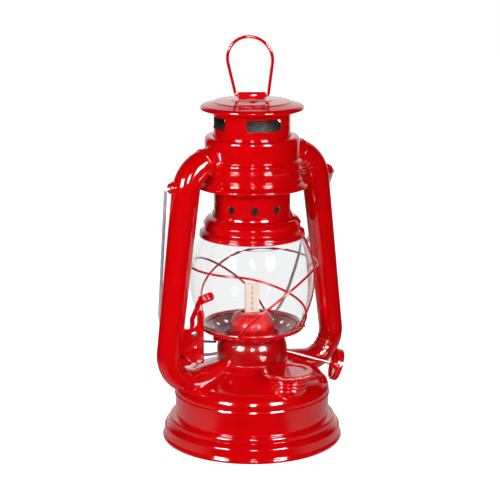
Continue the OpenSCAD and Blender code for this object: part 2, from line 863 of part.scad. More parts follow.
// A plate with a round end and three grip ribs, along X and standing on Z.
// Its root edge leans so that it stands upright once the tab climbs.
module thumb_tab(length) {
    rib = 0.5;
    sink = 0.4;
    round_r = tab_h / 2;
    round_end = arc([length - round_r, round_r], round_r, -90, 90, 10);
    xz_plate(0, lever_t, concat([[-sink, 0]], round_end, [[tab_h * tan(tab_climb) - sink, tab_h]]));
    for (k = [1 : 3])
        translate([length * (0.3 + 0.14 * k), 0, tab_h * 0.2])
            cylinder(h = tab_h * 0.6, r = rib, $fn = 24);
}

// The wire runs down from the lever's hub and in under the globe plate's lug
wire_root = [2.1 - lever_out, lever_y + lever_t, z_pin - 1.9];
wire_turn = [10 - lever_out, 0.4, z_pin - 7.6];
wire_tip = [19 - lever_out, 0.4, z_pin - 9.4];

module lift_wire() {
    path = [wire_root, wire_root + [0, 0.8, 0], wire_root + [0.5, 1.4, -0.4], wire_turn - [0.6, 0, -0.45],
        wire_turn + [0.6, 0, -0.2], wire_tip];
    color([0.12, 0.1, 0.1]) swept(path, lift_wire_r, 12, [0, 0, 1]);
}

module lift_lug() {
    x_mid = lever_out - 20.5;
    half = 2.4;
    low = wire_tip[2] + lift_wire_r + move_gap;
    color(red)
        difference() {
            translate([-x_mid - half, -2, low]) cube([2 * half, 4, z_ledge - low]);
            turned(concat(plate_path, [[plate_r, z_ledge + 10], [plate_in, z_ledge + 10]]));
        }
}

// Air chamber, chimney and hood
chamber_path = concat(
    [[flange_r, z_chamber], [flange_r, z_chamber + 1], [chamber_r + 0.6, z_chamber + 3.2],
     [chamber_r, z_chamber + 4.5], [chamber_r, z_chamber + 17.8], [chamber_top_r, z_chamber + 18.8]],
    arc([chamber_top_r - 2.4, z_chamber_top - 2.4], 2.4, 0, 90, 6),
    [[chimney_r + guide_gap, z_chamber_top]]);
z_floor = z_chamber + 2.6;
z_arm = top_centre[1] + top_bend_r;

module air_chamber() {
    color(red)
        difference() {
            turned(sheet_outline(chamber_path, sheet));
            bar([-2 * chamber_r, 0, z_arm], [2 * chamber_r, 0, z_arm], tube_top_r - sheet);
        }
}

module chamber_floor() {
    floor_out = chamber_r - sheet - 0.1;
    color(steel)
        translate([0, 0, z_floor])
            difference() {
                union() {
                    cylinder(h = sheet, r = floor_out);
                    cylinder(h = 2.4, r = chimney_r + guide_gap + sheet);
                }
                translate([0, 0, -cut]) cylinder(h = 4, r = chimney_r + guide_gap);
            }
}

z_tube_low = z_bell_top - 1;
z_holes = z_bell_top + 6.4;
z_slots = z_chamber_top + 5.2;
slot_web = 34;

module chimney_tube() {
    color(red)
        difference() {
            translate([0, 0, z_tube_low]) cylinder(h = z_hood + 2 - z_tube_low, r = chimney_r);
            translate([0, 0, z_tube_low - cut]) cylinder(h = z_hood - z_tube_low + 4, r = chimney_r - sheet);
            for (i = [0 : bell_holes - 1])
                rotate([0, 0, hood_turn + 4 + 360 * i / bell_holes])
                    translate([0, 0, z_holes])
                        rotate([90, 0, 0])
                            cylinder(h = chimney_r + 1, r = bell_hole_r);
            for (i = [0 : hood_slots - 1])
                rotate([0, 0, hood_turn + 19.5 + 360 * i / hood_slots])
                    translate([0, 0, z_slots])
                        slot_cut(360 / hood_slots - slot_web);
        }
}

// A window of the given angle, facing -Y
module slot_cut(angle) {
    rotate([0, 0, -90 - angle / 2])
        rotate_extrude(angle = angle)
            translate([chimney_r - 3, 0])
                square([6, slot_h]);
}

bell_path = concat(
    [[bell_r, z_bell], [bell_r + 0.3, z_bell + 0.6], [bell_r, z_bell + 1.2], [bell_drum_r, z_bell + 2.7]],
    arc([bell_drum_r - 4, z_bell + 8], 4, 0, 60, 5),
    [[chimney_r + sheet + 0.8, z_bell_top - 1], [chimney_r + sheet, z_bell_top],
     [chimney_r + sheet, z_bell_top + 2]]);

module bell() {
    color(red) turned(sheet_outline(bell_path, sheet));
}

z_collar = z_chamber + 5.6;

module spring_collar() {
    color(steel)
        translate([0, 0, z_collar])
            difference() {
                cylinder(h = sheet, r = spring_r + 1.6);
                translate([0, 0, -cut]) cylinder(h = sheet + 2 * cut, r = chimney_r);
            }
}

// A helical spring between the collar on the chimney and the top of the air chamber
spring_r = (chimney_r + chamber_top_r - sheet) / 2 + 0.2;
spring_low = z_collar + sheet + spring_wire_r + 0.1;
spring_high = z_chamber_top - sheet - spring_wire_r - 0.1;
spring_path = let (steps = 8 * spring_turns) [for (i = [0 : steps])
    let (a = 360 * i / 8)
    [spring_r * cos(a), spring_r * sin(a), spring_low + (spring_high - spring_low) * i / steps]];
spring_gap = min([for (i = [0 : len(spring_path) - 1], j = [i + 5 : len(spring_path) - 1])
    norm(spring_path[i] - spring_path[j])]) - 2 * spring_wire_r;

module chimney_spring() {
    color(steel) swept(spring_path, spring_wire_r, 6);
    echo(least_gap_between_spring_turns = spring_gap);
}

hood_path = concat(
    [[hood_r, z_hood], [hood_r, z_hood + 1.8]],
    arc([hood_r - 1.4, z_hood + 1.8], 1.4, 20, 80, 4),
    [[hood_r * 0.76, z_hood + hood_rise * 0.72], [hood_r * 0.73, z_hood + hood_rise * 0.82],
     [hood_r * 0.66, z_hood + hood_rise * 0.82], [hood_r * 0.42, z_hood + hood_rise * 0.9],
     [hood_r * 0.39, z_hood + hood_rise * 0.99], [0, z_hood_top]]);

module hood() {
    socket = 0.7;
    color(red) {
        turned(sheet_outline(hood_path, sheet));
        difference() {
            filled(shifted(hood_path, -sheet), z_hood - 1);
            translate([0, 0, z_hood - 2]) cylinder(h = hood_rise + 4, r = chimney_r + 0.05);
            translate([0, 0, z_hood - 2])
                difference() {
                    cylinder(h = hood_rise + 4, r = 2 * hood_r);
                    translate([0, 0, -cut]) cylinder(h = hood_rise + 5, r = chimney_r + socket);
                }
        }
    }
}

knuckle_r = loop_wire_r + 1.2;
z_hinge = z_hood_top + knuckle_r;

module hood_strap() {
    leaf = 26;
    half = knuckle_w / 2;
    color(red)
        rotate([0, 0, hood_turn])
            difference() {
                union() {
                    bar([-half, 0, z_hinge], [half, 0, z_hinge], knuckle_r);
                    intersection() {
                        translate([-half, -leaf, z_hood]) cube([knuckle_w, 2 * leaf, hood_rise + knuckle_r]);
                        filled(shifted(hood_path, sheet), z_hood);
                    }
                }
                filled(hood_path, z_hood - 5);
                bar([-knuckle_w, 0, z_hinge], [knuckle_w, 0, z_hinge], loop_wire_r + pin_gap);
            }
}

// Lift loop: two pins in the knuckle, two legs that lean out and a round top
loop_elbow = 1.8;
loop_foot = knuckle_w / 2 + loop_elbow + 0.1;
loop_top = [0, loop_h - loop_r - loop_wire_r];
loop_low = [loop_foot - loop_elbow, loop_elbow];
loop_way = loop_top - loop_low;
loop_touch = atan2(loop_way[1], loop_way[0]) - acos((loop_elbow - loop_r) / norm(loop_way));
loop_half = concat([[knuckle_w / 2 - 5, 0]],
    arc(loop_low, loop_elbow, -90, loop_touch, 5),
    arc(loop_top, loop_r, loop_touch, 86, 12));

module lift_loop() {
    path = concat(upright(loop_half), reversed(mirrored(upright(loop_half))));
    color(red)
        translate([0, 0, z_hinge])
            rotate([0, 0, hood_turn])
                swept(path, loop_wire_r, 16, [0, 1, 0]);
}

tank_wall();
tank_bottom();
tank_lid();
tank_dome();
filler_neck();
filler_gasket();
filler_cap();
burner_collar();
burner_drum();
burner_plate();
burner_cone();
wick_tube();
wick();
shaft_bush();
wick_shaft();
wick_wheels();
wick_knob();
globe_plate();
lift_lug();
globe();
guard_wire_left();
guard_wire_right();
tube_left();
tube_right();
ear_left();
ear_right();
lever_bracket();
bracket_rivets();
lever_pin();
lever();
lift_wire();
air_chamber();
chamber_floor();
chimney_tube();
bell();
spring_collar();
chimney_spring();
hood();
hood_strap();
lift_loop();
bail();
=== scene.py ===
# %% [markdown]
# # A red hurricane lantern
# The lantern is pressed from thin sheet, dipped in glossy red enamel and closed with a glass globe.
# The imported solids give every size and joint. This script dresses them: it models the pieces again
# with the round press edges, beads and wires that the real ones have, and paints them.

# %% Load the frame
import json
import random
from math import acos, atan2, cos, degrees, hypot, pi, radians, sin, sqrt, tan

import bpy
from mathutils import Matrix, Vector


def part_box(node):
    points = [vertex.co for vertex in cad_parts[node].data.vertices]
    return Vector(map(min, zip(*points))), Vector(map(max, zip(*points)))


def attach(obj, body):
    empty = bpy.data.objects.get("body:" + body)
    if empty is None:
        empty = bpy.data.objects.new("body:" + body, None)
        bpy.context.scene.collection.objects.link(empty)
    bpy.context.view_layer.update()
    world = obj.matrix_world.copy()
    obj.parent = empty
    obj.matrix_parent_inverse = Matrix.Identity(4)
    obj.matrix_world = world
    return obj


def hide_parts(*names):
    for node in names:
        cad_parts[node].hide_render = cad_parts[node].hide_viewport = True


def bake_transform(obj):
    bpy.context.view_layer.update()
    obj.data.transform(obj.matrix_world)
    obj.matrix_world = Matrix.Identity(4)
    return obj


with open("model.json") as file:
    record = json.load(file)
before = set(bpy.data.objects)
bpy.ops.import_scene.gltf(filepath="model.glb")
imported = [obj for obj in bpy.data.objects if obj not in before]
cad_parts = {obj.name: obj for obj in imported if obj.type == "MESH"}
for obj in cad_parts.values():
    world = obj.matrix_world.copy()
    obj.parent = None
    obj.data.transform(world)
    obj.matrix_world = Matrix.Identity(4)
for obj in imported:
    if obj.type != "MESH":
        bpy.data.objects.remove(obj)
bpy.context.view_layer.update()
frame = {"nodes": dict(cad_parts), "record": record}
print("CAD nodes:", len(frame["nodes"]))


def clear_bench():
    """Leaves nothing selected, so that an operator acts only on what is new."""
    if bpy.context.mode != "OBJECT":
        bpy.ops.object.mode_set(mode="OBJECT")
    bpy.ops.object.select_all(action="DESELECT")


# %% [markdown]
# ## Camera
# The photograph looks down a little at the front left of the lantern through a long lens.
# The camera stands where a fit of the rims and the tank's outline puts it.

# %% Camera
MM = 0.001
VIEW_TURN = radians(-32)
VIEW_RISE = radians(13.59)
VIEW_DISTANCE = 1.116
VIEW_TARGET = Vector((0, 0, 0.1233))
SENSOR, LENS, LENS_SHIFT, NEAR_CLIP = 36, 126.3, -0.004, 0.01


def way_from(turn, rise):
    """The direction from the lantern to a place, by its turn from the front and its rise."""
    return Vector((sin(turn) * cos(rise), -cos(turn) * cos(rise), sin(rise)))


view_way = way_from(VIEW_TURN, VIEW_RISE)
clear_bench()
bpy.ops.object.camera_add(location=VIEW_TARGET + VIEW_DISTANCE * view_way)
camera = bpy.context.object
camera.rotation_euler = (-view_way).to_track_quat("-Z", "Y").to_euler()
camera.data.sensor_width = SENSOR
camera.data.lens = LENS
camera.data.shift_x = LENS_SHIFT
camera.data.clip_start = NEAR_CLIP
scene = bpy.context.scene
scene.camera = camera
print("camera at", tuple(round(x, 3) for x in camera.location))

# %% [markdown]
# ## Lamps
# Soft lamps stand to the left and right of the camera, a weaker one stands above it, and a wide one lights
# the back. Soft lamps big enough for even light give dull highlights, and the photograph has short white
# ones on every bead. So each lamp in front has a glint beside it: a bright lamp that only shows in glossy
# surfaces. The glass takes the lamps' light from the burner, and a small lamp in the globe gives it back.

# %% Lamps
LAMP_DISTANCE = 1.3
SOFT_LAMPS = (("lamp_left", -40, 19, 0.36, 0.3, 7.6), ("lamp_right", 37, 19, 0.36, 0.3, 5.8),
              ("lamp_front", 2, 19, 0.36, 0.3, 2.0), ("lamp_back", 165, 40, 0.9, 0.7, 5.0))
GLINTS = (("glint_left", -40, 20, 0.38, 0.34, 38), ("glint_right", 37, 20, 0.38, 0.34, 38),
          ("glint_front", 2, 20, 0.16, 0.3, 8))
INSIDE_PLACE = Vector((0, 0, 0.130)) + 0.024 * way_from(VIEW_TURN, 0)
INSIDE_SIZE, INSIDE_WATTS = 0.016, 0.006
scene.view_settings.view_transform = "Standard"


def add_lamp(name, turn, rise, width, height, watts):
    """A lamp that faces the lantern, placed by its turn from the camera and its rise in degrees."""
    clear_bench()
    way = way_from(VIEW_TURN + radians(turn), radians(rise))
    bpy.ops.object.light_add(type="AREA", location=VIEW_TARGET + LAMP_DISTANCE * way)
    lamp = bpy.context.object
    lamp.name = name
    lamp.rotation_euler = (-way).to_track_quat("-Z", "Y").to_euler()
    lamp.data.shape = "RECTANGLE"
    lamp.data.size = width
    lamp.data.size_y = height
    lamp.data.energy = watts
    lamp.visible_camera = False
    return lamp


for row in SOFT_LAMPS:
    add_lamp(*row).visible_glossy = False
for row in GLINTS:
    glint = add_lamp(*row)
    glint.visible_diffuse = glint.visible_transmission = False
clear_bench()
bpy.ops.object.light_add(type="AREA", location=INSIDE_PLACE)
inside = bpy.context.object
inside.name = "lamp_inside"
inside.data.energy = INSIDE_WATTS
inside.data.size = INSIDE_SIZE
inside.visible_camera = inside.visible_glossy = inside.visible_transmission = False

# %% [markdown]
# ## Floor and world
# The background is white, also where the glass and the enamel show it, but the room behind the camera
# is dark. That is why the enamel is deep red in front and pale at its edges, and why the glass is a
# little greyer than the paper. The world is white towards the back and dark towards the camera, and the
# white floor ends a short way in front.

# %% Tools for nodes
def new_node(tree, kind, **values):
    """A node with its properties set."""
    node = tree.nodes.new(kind)
    for key, value in values.items():
        setattr(node, key, value)
    return node


def feed(tree, socket, source):
    """Links a socket to an output, or sets its value."""
    if isinstance(source, bpy.types.NodeSocket):
        tree.links.new(source, socket)
    else:
        socket.default_value = source


def worked_out(tree, operation, *values, clamp=False):
    """The result of a Math node on outputs and numbers."""
    node = new_node(tree, "ShaderNodeMath", operation=operation, use_clamp=clamp)
    for socket, value in zip(node.inputs, values):
        feed(tree, socket, value)
    return node.outputs[0]


def on_vector(tree, operation, vector):
    """A Vector Math node on one output."""
    node = new_node(tree, "ShaderNodeVectorMath", operation=operation)
    tree.links.new(vector, node.inputs[0])
    return node


def ranged(tree, value, low, high, first=0.0, last=1.0, kind="LINEAR"):
    """An output mapped from one range to another."""
    node = new_node(tree, "ShaderNodeMapRange", interpolation_type=kind)
    for name, source in (("Value", value), ("From Min", low), ("From Max", high), ("To Min", first), ("To Max", last)):
        feed(tree, node.inputs[name], source)
    return node.outputs["Result"]


# %% Floor
ROOM_FRONT = way_from(VIEW_TURN, 0)
DARK_ROOM = 0.0
FLOOR_SIZE, FLOOR_TONE, FLOOR_GLOW = 8, 0.82, 0.90
NEAR_FLOOR, NEAR_GLOW = (0.10, 0.26), 0.45
NEAR_FRONT, FLOOR_BACK, WORLD_BACK = (0.60, 0.85), (-0.95, -0.70), (-0.92, -0.60)


def seen_directly(tree):
    """The ray kinds, and 1 for what the camera sees, also through glass, or 0 for light on its way to the paint."""
    rays = new_node(tree, "ShaderNodeLightPath").outputs
    either = worked_out(tree, "MAXIMUM", rays["Is Camera Ray"], rays["Is Transmission Ray"])
    return rays, worked_out(tree, "SUBTRACT", either, rays["Diffuse Depth"], clamp=True)


def fade_to_front(tree, place, start, end):
    """1 at the back and dark in front, between two distances towards the camera."""
    ahead = on_vector(tree, "DOT_PRODUCT", place)
    ahead.inputs[1].default_value = ROOM_FRONT
    return ranged(tree, ahead.outputs["Value"], start, end, 1.0, DARK_ROOM, "SMOOTHSTEP")


clear_bench()
bpy.ops.mesh.primitive_plane_add(size=FLOOR_SIZE)
floor = bpy.context.object
floor.name = "studio_floor"
floor_paint = bpy.data.materials.new("studio_floor")
floor_paint.use_nodes = True
tree = floor_paint.node_tree
tree.nodes.clear()
rays, direct = seen_directly(tree)
place = new_node(tree, "ShaderNodeNewGeometry").outputs["Position"]
toward = on_vector(tree, "NORMALIZE", place).outputs["Vector"]
near = on_vector(tree, "LENGTH", place).outputs["Value"]
near_fade = ranged(tree, near, *NEAR_FLOOR, NEAR_GLOW, DARK_ROOM, "SMOOTHSTEP")
beside_camera = worked_out(tree, "MULTIPLY", near_fade, fade_to_front(tree, toward, *NEAR_FRONT))
mirrored = worked_out(tree, "MAXIMUM", beside_camera, fade_to_front(tree, toward, *FLOOR_BACK))
matt = new_node(tree, "ShaderNodeBsdfDiffuse")
matt.inputs["Color"].default_value = (FLOOR_TONE, FLOOR_TONE, FLOOR_TONE, 1)
glow = new_node(tree, "ShaderNodeEmission")
feed(tree, glow.inputs["Strength"], worked_out(tree, "MULTIPLY", direct, FLOOR_GLOW))
lit = new_node(tree, "ShaderNodeAddShader")
mirrored_floor = new_node(tree, "ShaderNodeEmission")
feed(tree, mirrored_floor.inputs["Strength"], worked_out(tree, "MAXIMUM", mirrored, direct))
either = new_node(tree, "ShaderNodeMixShader")
out = new_node(tree, "ShaderNodeOutputMaterial")
link = tree.links.new
link(matt.outputs[0], lit.inputs[0])
link(glow.outputs[0], lit.inputs[1])
link(rays["Is Glossy Ray"], either.inputs[0])
link(lit.outputs[0], either.inputs[1])
link(mirrored_floor.outputs[0], either.inputs[2])
link(either.outputs[0], out.inputs["Surface"])
floor.data.materials.append(floor_paint)

# %% World
SOFT_LIGHT = 0.11
world = bpy.data.worlds.new("studio_world")
scene.world = world
world.use_nodes = True
tree = world.node_tree
tree.nodes.clear()
rays, direct = seen_directly(tree)
way = new_node(tree, "ShaderNodeTexCoord").outputs["Generated"]
glossy = new_node(tree, "ShaderNodeMix", data_type="FLOAT")
glossy.inputs["A"].default_value = SOFT_LIGHT
level = new_node(tree, "ShaderNodeMix", data_type="FLOAT")
level.inputs["B"].default_value = 1.0
sky = new_node(tree, "ShaderNodeBackground")
sky.inputs["Color"].default_value = (1, 1, 1, 1)
out = new_node(tree, "ShaderNodeOutputWorld")
link = tree.links.new
link(rays["Is Glossy Ray"], glossy.inputs["Factor"])
link(fade_to_front(tree, way, *WORLD_BACK), glossy.inputs["B"])
link(direct, level.inputs["Factor"])
link(glossy.outputs["Result"], level.inputs["A"])
link(level.outputs["Result"], sky.inputs["Strength"])
link(sky.outputs[0], out.inputs["Surface"])
print("floor and world: white behind, dark in front")

# %% [markdown]
# ## Finishes
# Every finish varies a little over its surface: enamel pools, zinc is blotched and brass is dull in
# places. One node group mixes two tones, moves the roughness and gives a fine grain for the bump.
# Each material places it with its own values, and keeps its constants on the shader itself.

# %% The shared surface group
NOISE_LOW, NOISE_HIGH = 0.3, 0.7
SKIN_INPUTS = ("Tone", "Second Tone", "Roughness Low", "Roughness High", "Blotch Scale", "Grain Scale")
SKIN_OUTPUTS = ("Tone", "Roughness", "Grain")


def make_surface_group():
    """Two tones, a roughness and a grain that change over the surface."""
    tree = bpy.data.node_groups.new("sheet_surface", "ShaderNodeTree")
    for way, names in (("INPUT", SKIN_INPUTS), ("OUTPUT", SKIN_OUTPUTS)):
        for name in names:
            kind = "NodeSocketColor" if name.endswith("Tone") else "NodeSocketFloat"
            tree.interface.new_socket(name=name, in_out=way, socket_type=kind)
    taken = new_node(tree, "NodeGroupInput").outputs
    given = new_node(tree, "NodeGroupOutput").inputs
    place = new_node(tree, "ShaderNodeTexCoord").outputs["Object"]
    noise = {}
    for name, detail in (("Blotch", 3), ("Grain", 2)):
        node = new_node(tree, "ShaderNodeTexNoise")
        node.inputs["Detail"].default_value = detail
        tree.links.new(place, node.inputs["Vector"])
        tree.links.new(taken[f"{name} Scale"], node.inputs["Scale"])
        noise[name] = node.outputs["Fac"]
    tone = new_node(tree, "ShaderNodeMix", data_type="RGBA")
    link = tree.links.new
    link(ranged(tree, noise["Blotch"], NOISE_LOW, NOISE_HIGH), tone.inputs["Factor"])
    link(taken["Tone"], tone.inputs["A"])
    link(taken["Second Tone"], tone.inputs["B"])
    link(tone.outputs["Result"], given["Tone"])
    link(ranged(tree, noise["Blotch"], NOISE_LOW, NOISE_HIGH, taken["Roughness Low"], taken["Roughness High"]),
         given["Roughness"])
    link(noise["Grain"], given["Grain"])
    return tree


SURFACE = make_surface_group()
GRAIN_HIGH = 0.0002
FINISH = {}


def make_finish(name, tone, second, roughness, blotch, grain, bump, **constants):
    """Adds a material with the surface group and the shader's own constants to the finishes."""
    paint = bpy.data.materials.new(name)
    paint.use_nodes = True
    tree = paint.node_tree
    shader = tree.nodes["Principled BSDF"]
    skin = new_node(tree, "ShaderNodeGroup", node_tree=SURFACE)
    for socket, value in zip(SKIN_INPUTS, ((*tone, 1), (*second, 1), *roughness, blotch, grain)):
        skin.inputs[socket].default_value = value
    relief = new_node(tree, "ShaderNodeBump")
    relief.inputs["Strength"].default_value = bump
    relief.inputs["Distance"].default_value = GRAIN_HIGH
    link = tree.links.new
    link(skin.outputs["Tone"], shader.inputs["Base Color"])
    link(skin.outputs["Roughness"], shader.inputs["Roughness"])
    link(skin.outputs["Grain"], relief.inputs["Height"])
    link(relief.outputs["Normal"], shader.inputs["Normal"])
    for socket, value in constants.items():
        shader.inputs[socket.replace("_", " ")].default_value = value
    FINISH[name] = paint


# %% The finishes
make_finish("red_enamel", (0.73, 0.0008, 0.003), (0.66, 0.0006, 0.002), (0.06, 0.09), 45, 700, 0.03,
            Coat_Weight=0.3, Coat_Roughness=0.03, IOR=1.5)
# Satin enamel is rougher than the red. Its deeper red is painted shade for the burner drum and cone, which sit under
# the globe and inside the glass.
make_finish("satin_shaded_enamel", (0.52, 0.0008, 0.003), (0.45, 0.0006, 0.002), (0.14, 0.19), 45, 700, 0.05, IOR=1.5)
make_finish("tin_plate", (0.30, 0.30, 0.30), (0.18, 0.18, 0.185), (0.25, 0.45), 160, 1500, 0.15, Metallic=1.0)
# Painted shade: a dark, greyed red for the top of the globe plate's dish inside the glass, which stands in for the
# shade and the glass's veil there.
make_finish("painted_shade_dish", (0.26, 0.035, 0.04), (0.16, 0.028, 0.03), (0.25, 0.4), 60, 900, 0.1)
# Painted shade: a dark grey for the inner faces of the bell and the chimney tube, which stands in for the shade inside
# them.
make_finish("painted_shade_tin", (0.035, 0.026, 0.024), (0.17, 0.13, 0.125), (0.45, 0.65), 420, 1500, 0.2)
make_finish("galvanised", (0.72, 0.73, 0.74), (0.60, 0.61, 0.63), (0.30, 0.45), 260, 1500, 0.1, Metallic=0.5)
make_finish("dark_wire", (0.03, 0.02, 0.02), (0.05, 0.035, 0.03), (0.25, 0.4), 300, 1600, 0.15)
make_finish("burner_brass", (0.60, 0.40, 0.14), (0.45, 0.29, 0.10), (0.25, 0.42), 180, 1400, 0.1, Metallic=1.0)
make_finish("cap_rubber", (0.02, 0.018, 0.018), (0.03, 0.028, 0.027), (0.6, 0.8), 300, 1800, 0.3)
make_finish("wick_cotton", (0.80, 0.70, 0.60), (0.72, 0.60, 0.50), (0.85, 0.95), 500, 3000, 0.5)
make_finish("tracer_thread", (0.20, 0.045, 0.03), (0.13, 0.03, 0.02), (0.8, 0.95), 700, 3000, 0.4)
make_finish("clear_glass", (0.95, 0.956, 0.958), (0.935, 0.941, 0.944), (0.0, 0.012), 30, 60, 0.02,
            Transmission_Weight=1.0, IOR=1.47, Specular_Tint=(0.12, 0.12, 0.12, 1.0))
print("finishes:", sorted(FINISH))

# %% Finishes for the solids that stay
NODE_SLOTS = {
    "tin_plate": ("tank_lid", "chamber_floor", "spring_collar", "shaft_bush", "lever_pin"),
    "galvanised": ("bail", "chimney_spring"),
    "dark_wire": ("lift_wire",),
    "burner_brass": ("wick_tube", "wick_wheels"),
    "cap_rubber": ("filler_gasket",),
    "wick_cotton": ("wick",),
    "clear_glass": ("globe",),
}
slot_of = {node: slot for slot, members in NODE_SLOTS.items() for node in members}
for name, node in frame["nodes"].items():
    slot = slot_of.get(name, "red_enamel")
    node.data.materials.clear()
    node.data.materials.append(FINISH[slot])
print("painted", len(frame["nodes"]), "nodes")

# %% [markdown]
# ## Tools for the bench
# Most of the lantern is turned: a drawn line, spun round the axis. A line starts as one vertex and is
# extruded from point to point. Its corners are rounded first, because a press never leaves a sharp
# bend, and the round edges are what catch the lamps. All lines are in millimetres, as [r, z].

# %% Lines and outlines
SHEET = 0.8
EDGE_HOLD, LEAST_RUN = 0.5, 2.5
EDGE_BULGE, SHOULDER, SHOULDER_BULGE = 0.35, 0.3, 0.7
LEAST_TURN, FILLET_STEP, FILLET_SHARE = radians(2), 11, 0.48


def arc(centre, radius, start, end, steps=10):
    """Points on an arc, by angles in degrees."""
    turns = [radians(start + (end - start) * i / steps) for i in range(steps + 1)]
    return [(centre[0] + radius * cos(t), centre[1] + radius * sin(t)) for t in turns]


def pressed(path, fillet=1.0):
    """The path with its corners rounded. A point may carry a radius of its own as a third number."""
    done = [Vector(path[0][:2])]
    for i in range(1, len(path) - 1):
        here = Vector(path[i][:2])
        back, ahead = Vector(path[i - 1][:2]) - here, Vector(path[i + 1][:2]) - here
        turn = pi - back.angle(ahead)
        radius = path[i][2] if len(path[i]) > 2 else fillet
        if turn < LEAST_TURN or radius == 0:
            done.append(here)
            continue
        half = tan(turn / 2)
        reach = min(radius * half, FILLET_SHARE * back.length, FILLET_SHARE * ahead.length)
        radius = reach / half
        centre = here + (back.normalized() + ahead.normalized()).normalized() * radius / cos(turn / 2)
        first = here + back.normalized() * reach - centre
        last = here + ahead.normalized() * reach - centre
        begin = atan2(first.y, first.x)
        swing = (atan2(last.y, last.x) - begin + pi) % (2 * pi) - pi
        steps = max(2, round(degrees(turn) / FILLET_STEP))
        for k in range(steps + 1):
            angle = begin + swing * k / steps
            done.append(centre + radius * Vector((cos(angle), sin(angle))))
    done.append(Vector(path[-1][:2]))
    return supported(done)


def supported(path):
    """Extra points near the ends of each straight run, so that its shading stays flat between them."""
    held = [path[0]]
    for before, after in zip(path, path[1:]):
        long = (after - before).length
        if long > LEAST_RUN:
            held += [before.lerp(after, EDGE_HOLD / long), after.lerp(before, EDGE_HOLD / long)]
        held.append(after)
    return held


def beside(path, distance):
    """The path moved sideways, to its left for a positive distance."""
    moved, last = [], len(path) - 1
    for i, point in enumerate(path):
        back = (path[max(i, 1)] - path[max(i, 1) - 1]).normalized()
        ahead = (path[min(i, last - 1) + 1] - path[min(i, last - 1)]).normalized()
        way = back + ahead
        normal = Vector((-way.y, way.x))
        moved.append(point + normal * (2 * distance / way.length_squared))
    return moved


def sheet_of(path, fillet=1.0, thickness=SHEET, plain=None):
    """A closed outline of a sheet: out along the path, and back on its left side with round edges.
    Where the path has fine beads, plain is a simpler path for the inner side."""
    outer = pressed(path, fillet)
    inner = beside(pressed(plain, fillet) if plain else outer, thickness)
    return [*outer, *round_edge(outer[-1], inner[-1], outer[-1] - outer[-2]),
            *reversed(inner), *round_edge(inner[0], outer[0], outer[0] - outer[1])]


def lid_of(path):
    """An outline of a sheet whose path ends on the axis."""
    outer, top = pressed(path), path[-1][1]
    return [(0.0, top), *reversed(outer[:-1]), *beside(outer, SHEET)[:-1], (0.0, top - SHEET)]


def round_edge(start, end, way):
    """Points of a rounded cut edge between the two sides of a sheet."""
    middle, bulge = (start + end) / 2, way.normalized() * (end - start).length * EDGE_BULGE
    first, last = (side.lerp(middle, SHOULDER) + bulge * SHOULDER_BULGE for side in (start, end))
    return [first, middle + bulge, last]


# %% Spinning a line
SMOOTH = 40
SAME_PLACE = 1e-6
INWARD = -0.1


def start_edit():
    """Opens the piece on the bench for editing, with all of it selected."""
    bpy.ops.object.mode_set(mode="EDIT")
    bpy.ops.mesh.select_all(action="SELECT")


def merge_doubles():
    """Makes one point of points in the same place."""
    bpy.ops.mesh.select_all(action="SELECT")
    bpy.ops.mesh.remove_doubles(threshold=SAME_PLACE)


def end_edit():
    """Turns all faces outward and closes the edit."""
    bpy.ops.mesh.select_all(action="SELECT")
    bpy.ops.mesh.normals_make_consistent(inside=False)
    bpy.ops.object.mode_set(mode="OBJECT")


def spun(name, outline, steps=128, smooth=SMOOTH):
    """A turned piece. An outline that starts and ends on the axis is left open there."""
    points = [(max(0.0, r), z) for r, z in (p[:2] for p in outline)]
    if points[0][0] > 0 or points[-1][0] > 0:
        points.append(points[0])
    clear_bench()
    bpy.ops.mesh.primitive_plane_add(size=MM)
    start_edit()
    bpy.ops.mesh.merge(type="CENTER")
    at = Vector((points[0][0], 0, points[0][1])) * MM
    bpy.ops.transform.translate(value=at)
    for r, z in points[1:]:
        goal = Vector((r, 0, z)) * MM
        bpy.ops.mesh.extrude_region_move(TRANSFORM_OT_translate={"value": goal - at})
        at = goal
    bpy.ops.mesh.select_all(action="SELECT")
    bpy.ops.mesh.spin(steps=steps, angle=2 * pi, center=(0, 0, 0), axis=(0, 0, 1))
    merge_doubles()
    end_edit()
    return finished(name, smooth)


def finished(name, smooth=SMOOTH):
    """Names the piece on the bench, smooths it and puts its place into its mesh."""
    piece = bpy.context.object
    piece.name = piece.data.name = name
    piece.select_set(True)
    bpy.ops.object.transform_apply()
    bpy.ops.object.shade_smooth_by_angle(angle=radians(smooth))
    return piece


def on_bench(*pieces):
    """Selects only these pieces and makes the first one active."""
    clear_bench()
    for piece in pieces:
        piece.select_set(True)
    bpy.context.view_layer.objects.active = pieces[0]


def moved_to(piece, matrix):
    """Turns and moves a finished piece, and puts its place into its mesh."""
    on_bench(piece)
    piece.matrix_world = matrix
    bpy.ops.object.transform_apply()
    return piece


def hand_over(piece, body, *stands_for, slot="red_enamel", paint=None):
    """Paints a piece, puts it on its body, if it has only one, and hides the CAD nodes that it stands for."""
    piece.data.materials.clear()
    piece.data.materials.append(FINISH[paint or slot])
    if body:
        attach(piece, body)
    if stands_for:
        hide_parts(*stands_for)
    print(f"{piece.name}: {len(piece.data.polygons)} faces, rides on {body or 'two bodies'}")


def faces_axis(face):
    """Whether a face of a turned piece is on its inside."""
    across = Vector((face.center.x, face.center.y, 0))
    return face.normal.dot(across.normalized()) < INWARD


def second_finish(piece, slot, chosen):
    """Paints the chosen faces of a piece with another finish."""
    piece.data.materials.append(FINISH[slot])
    for face in piece.data.polygons:
        if chosen(face):
            face.material_index = 1


# %% [markdown]
# ## Tank
# The wall stands on a rolled rim. Its foot swells in two soft rolls, and a groove runs under the seam
# where the dome is folded on.

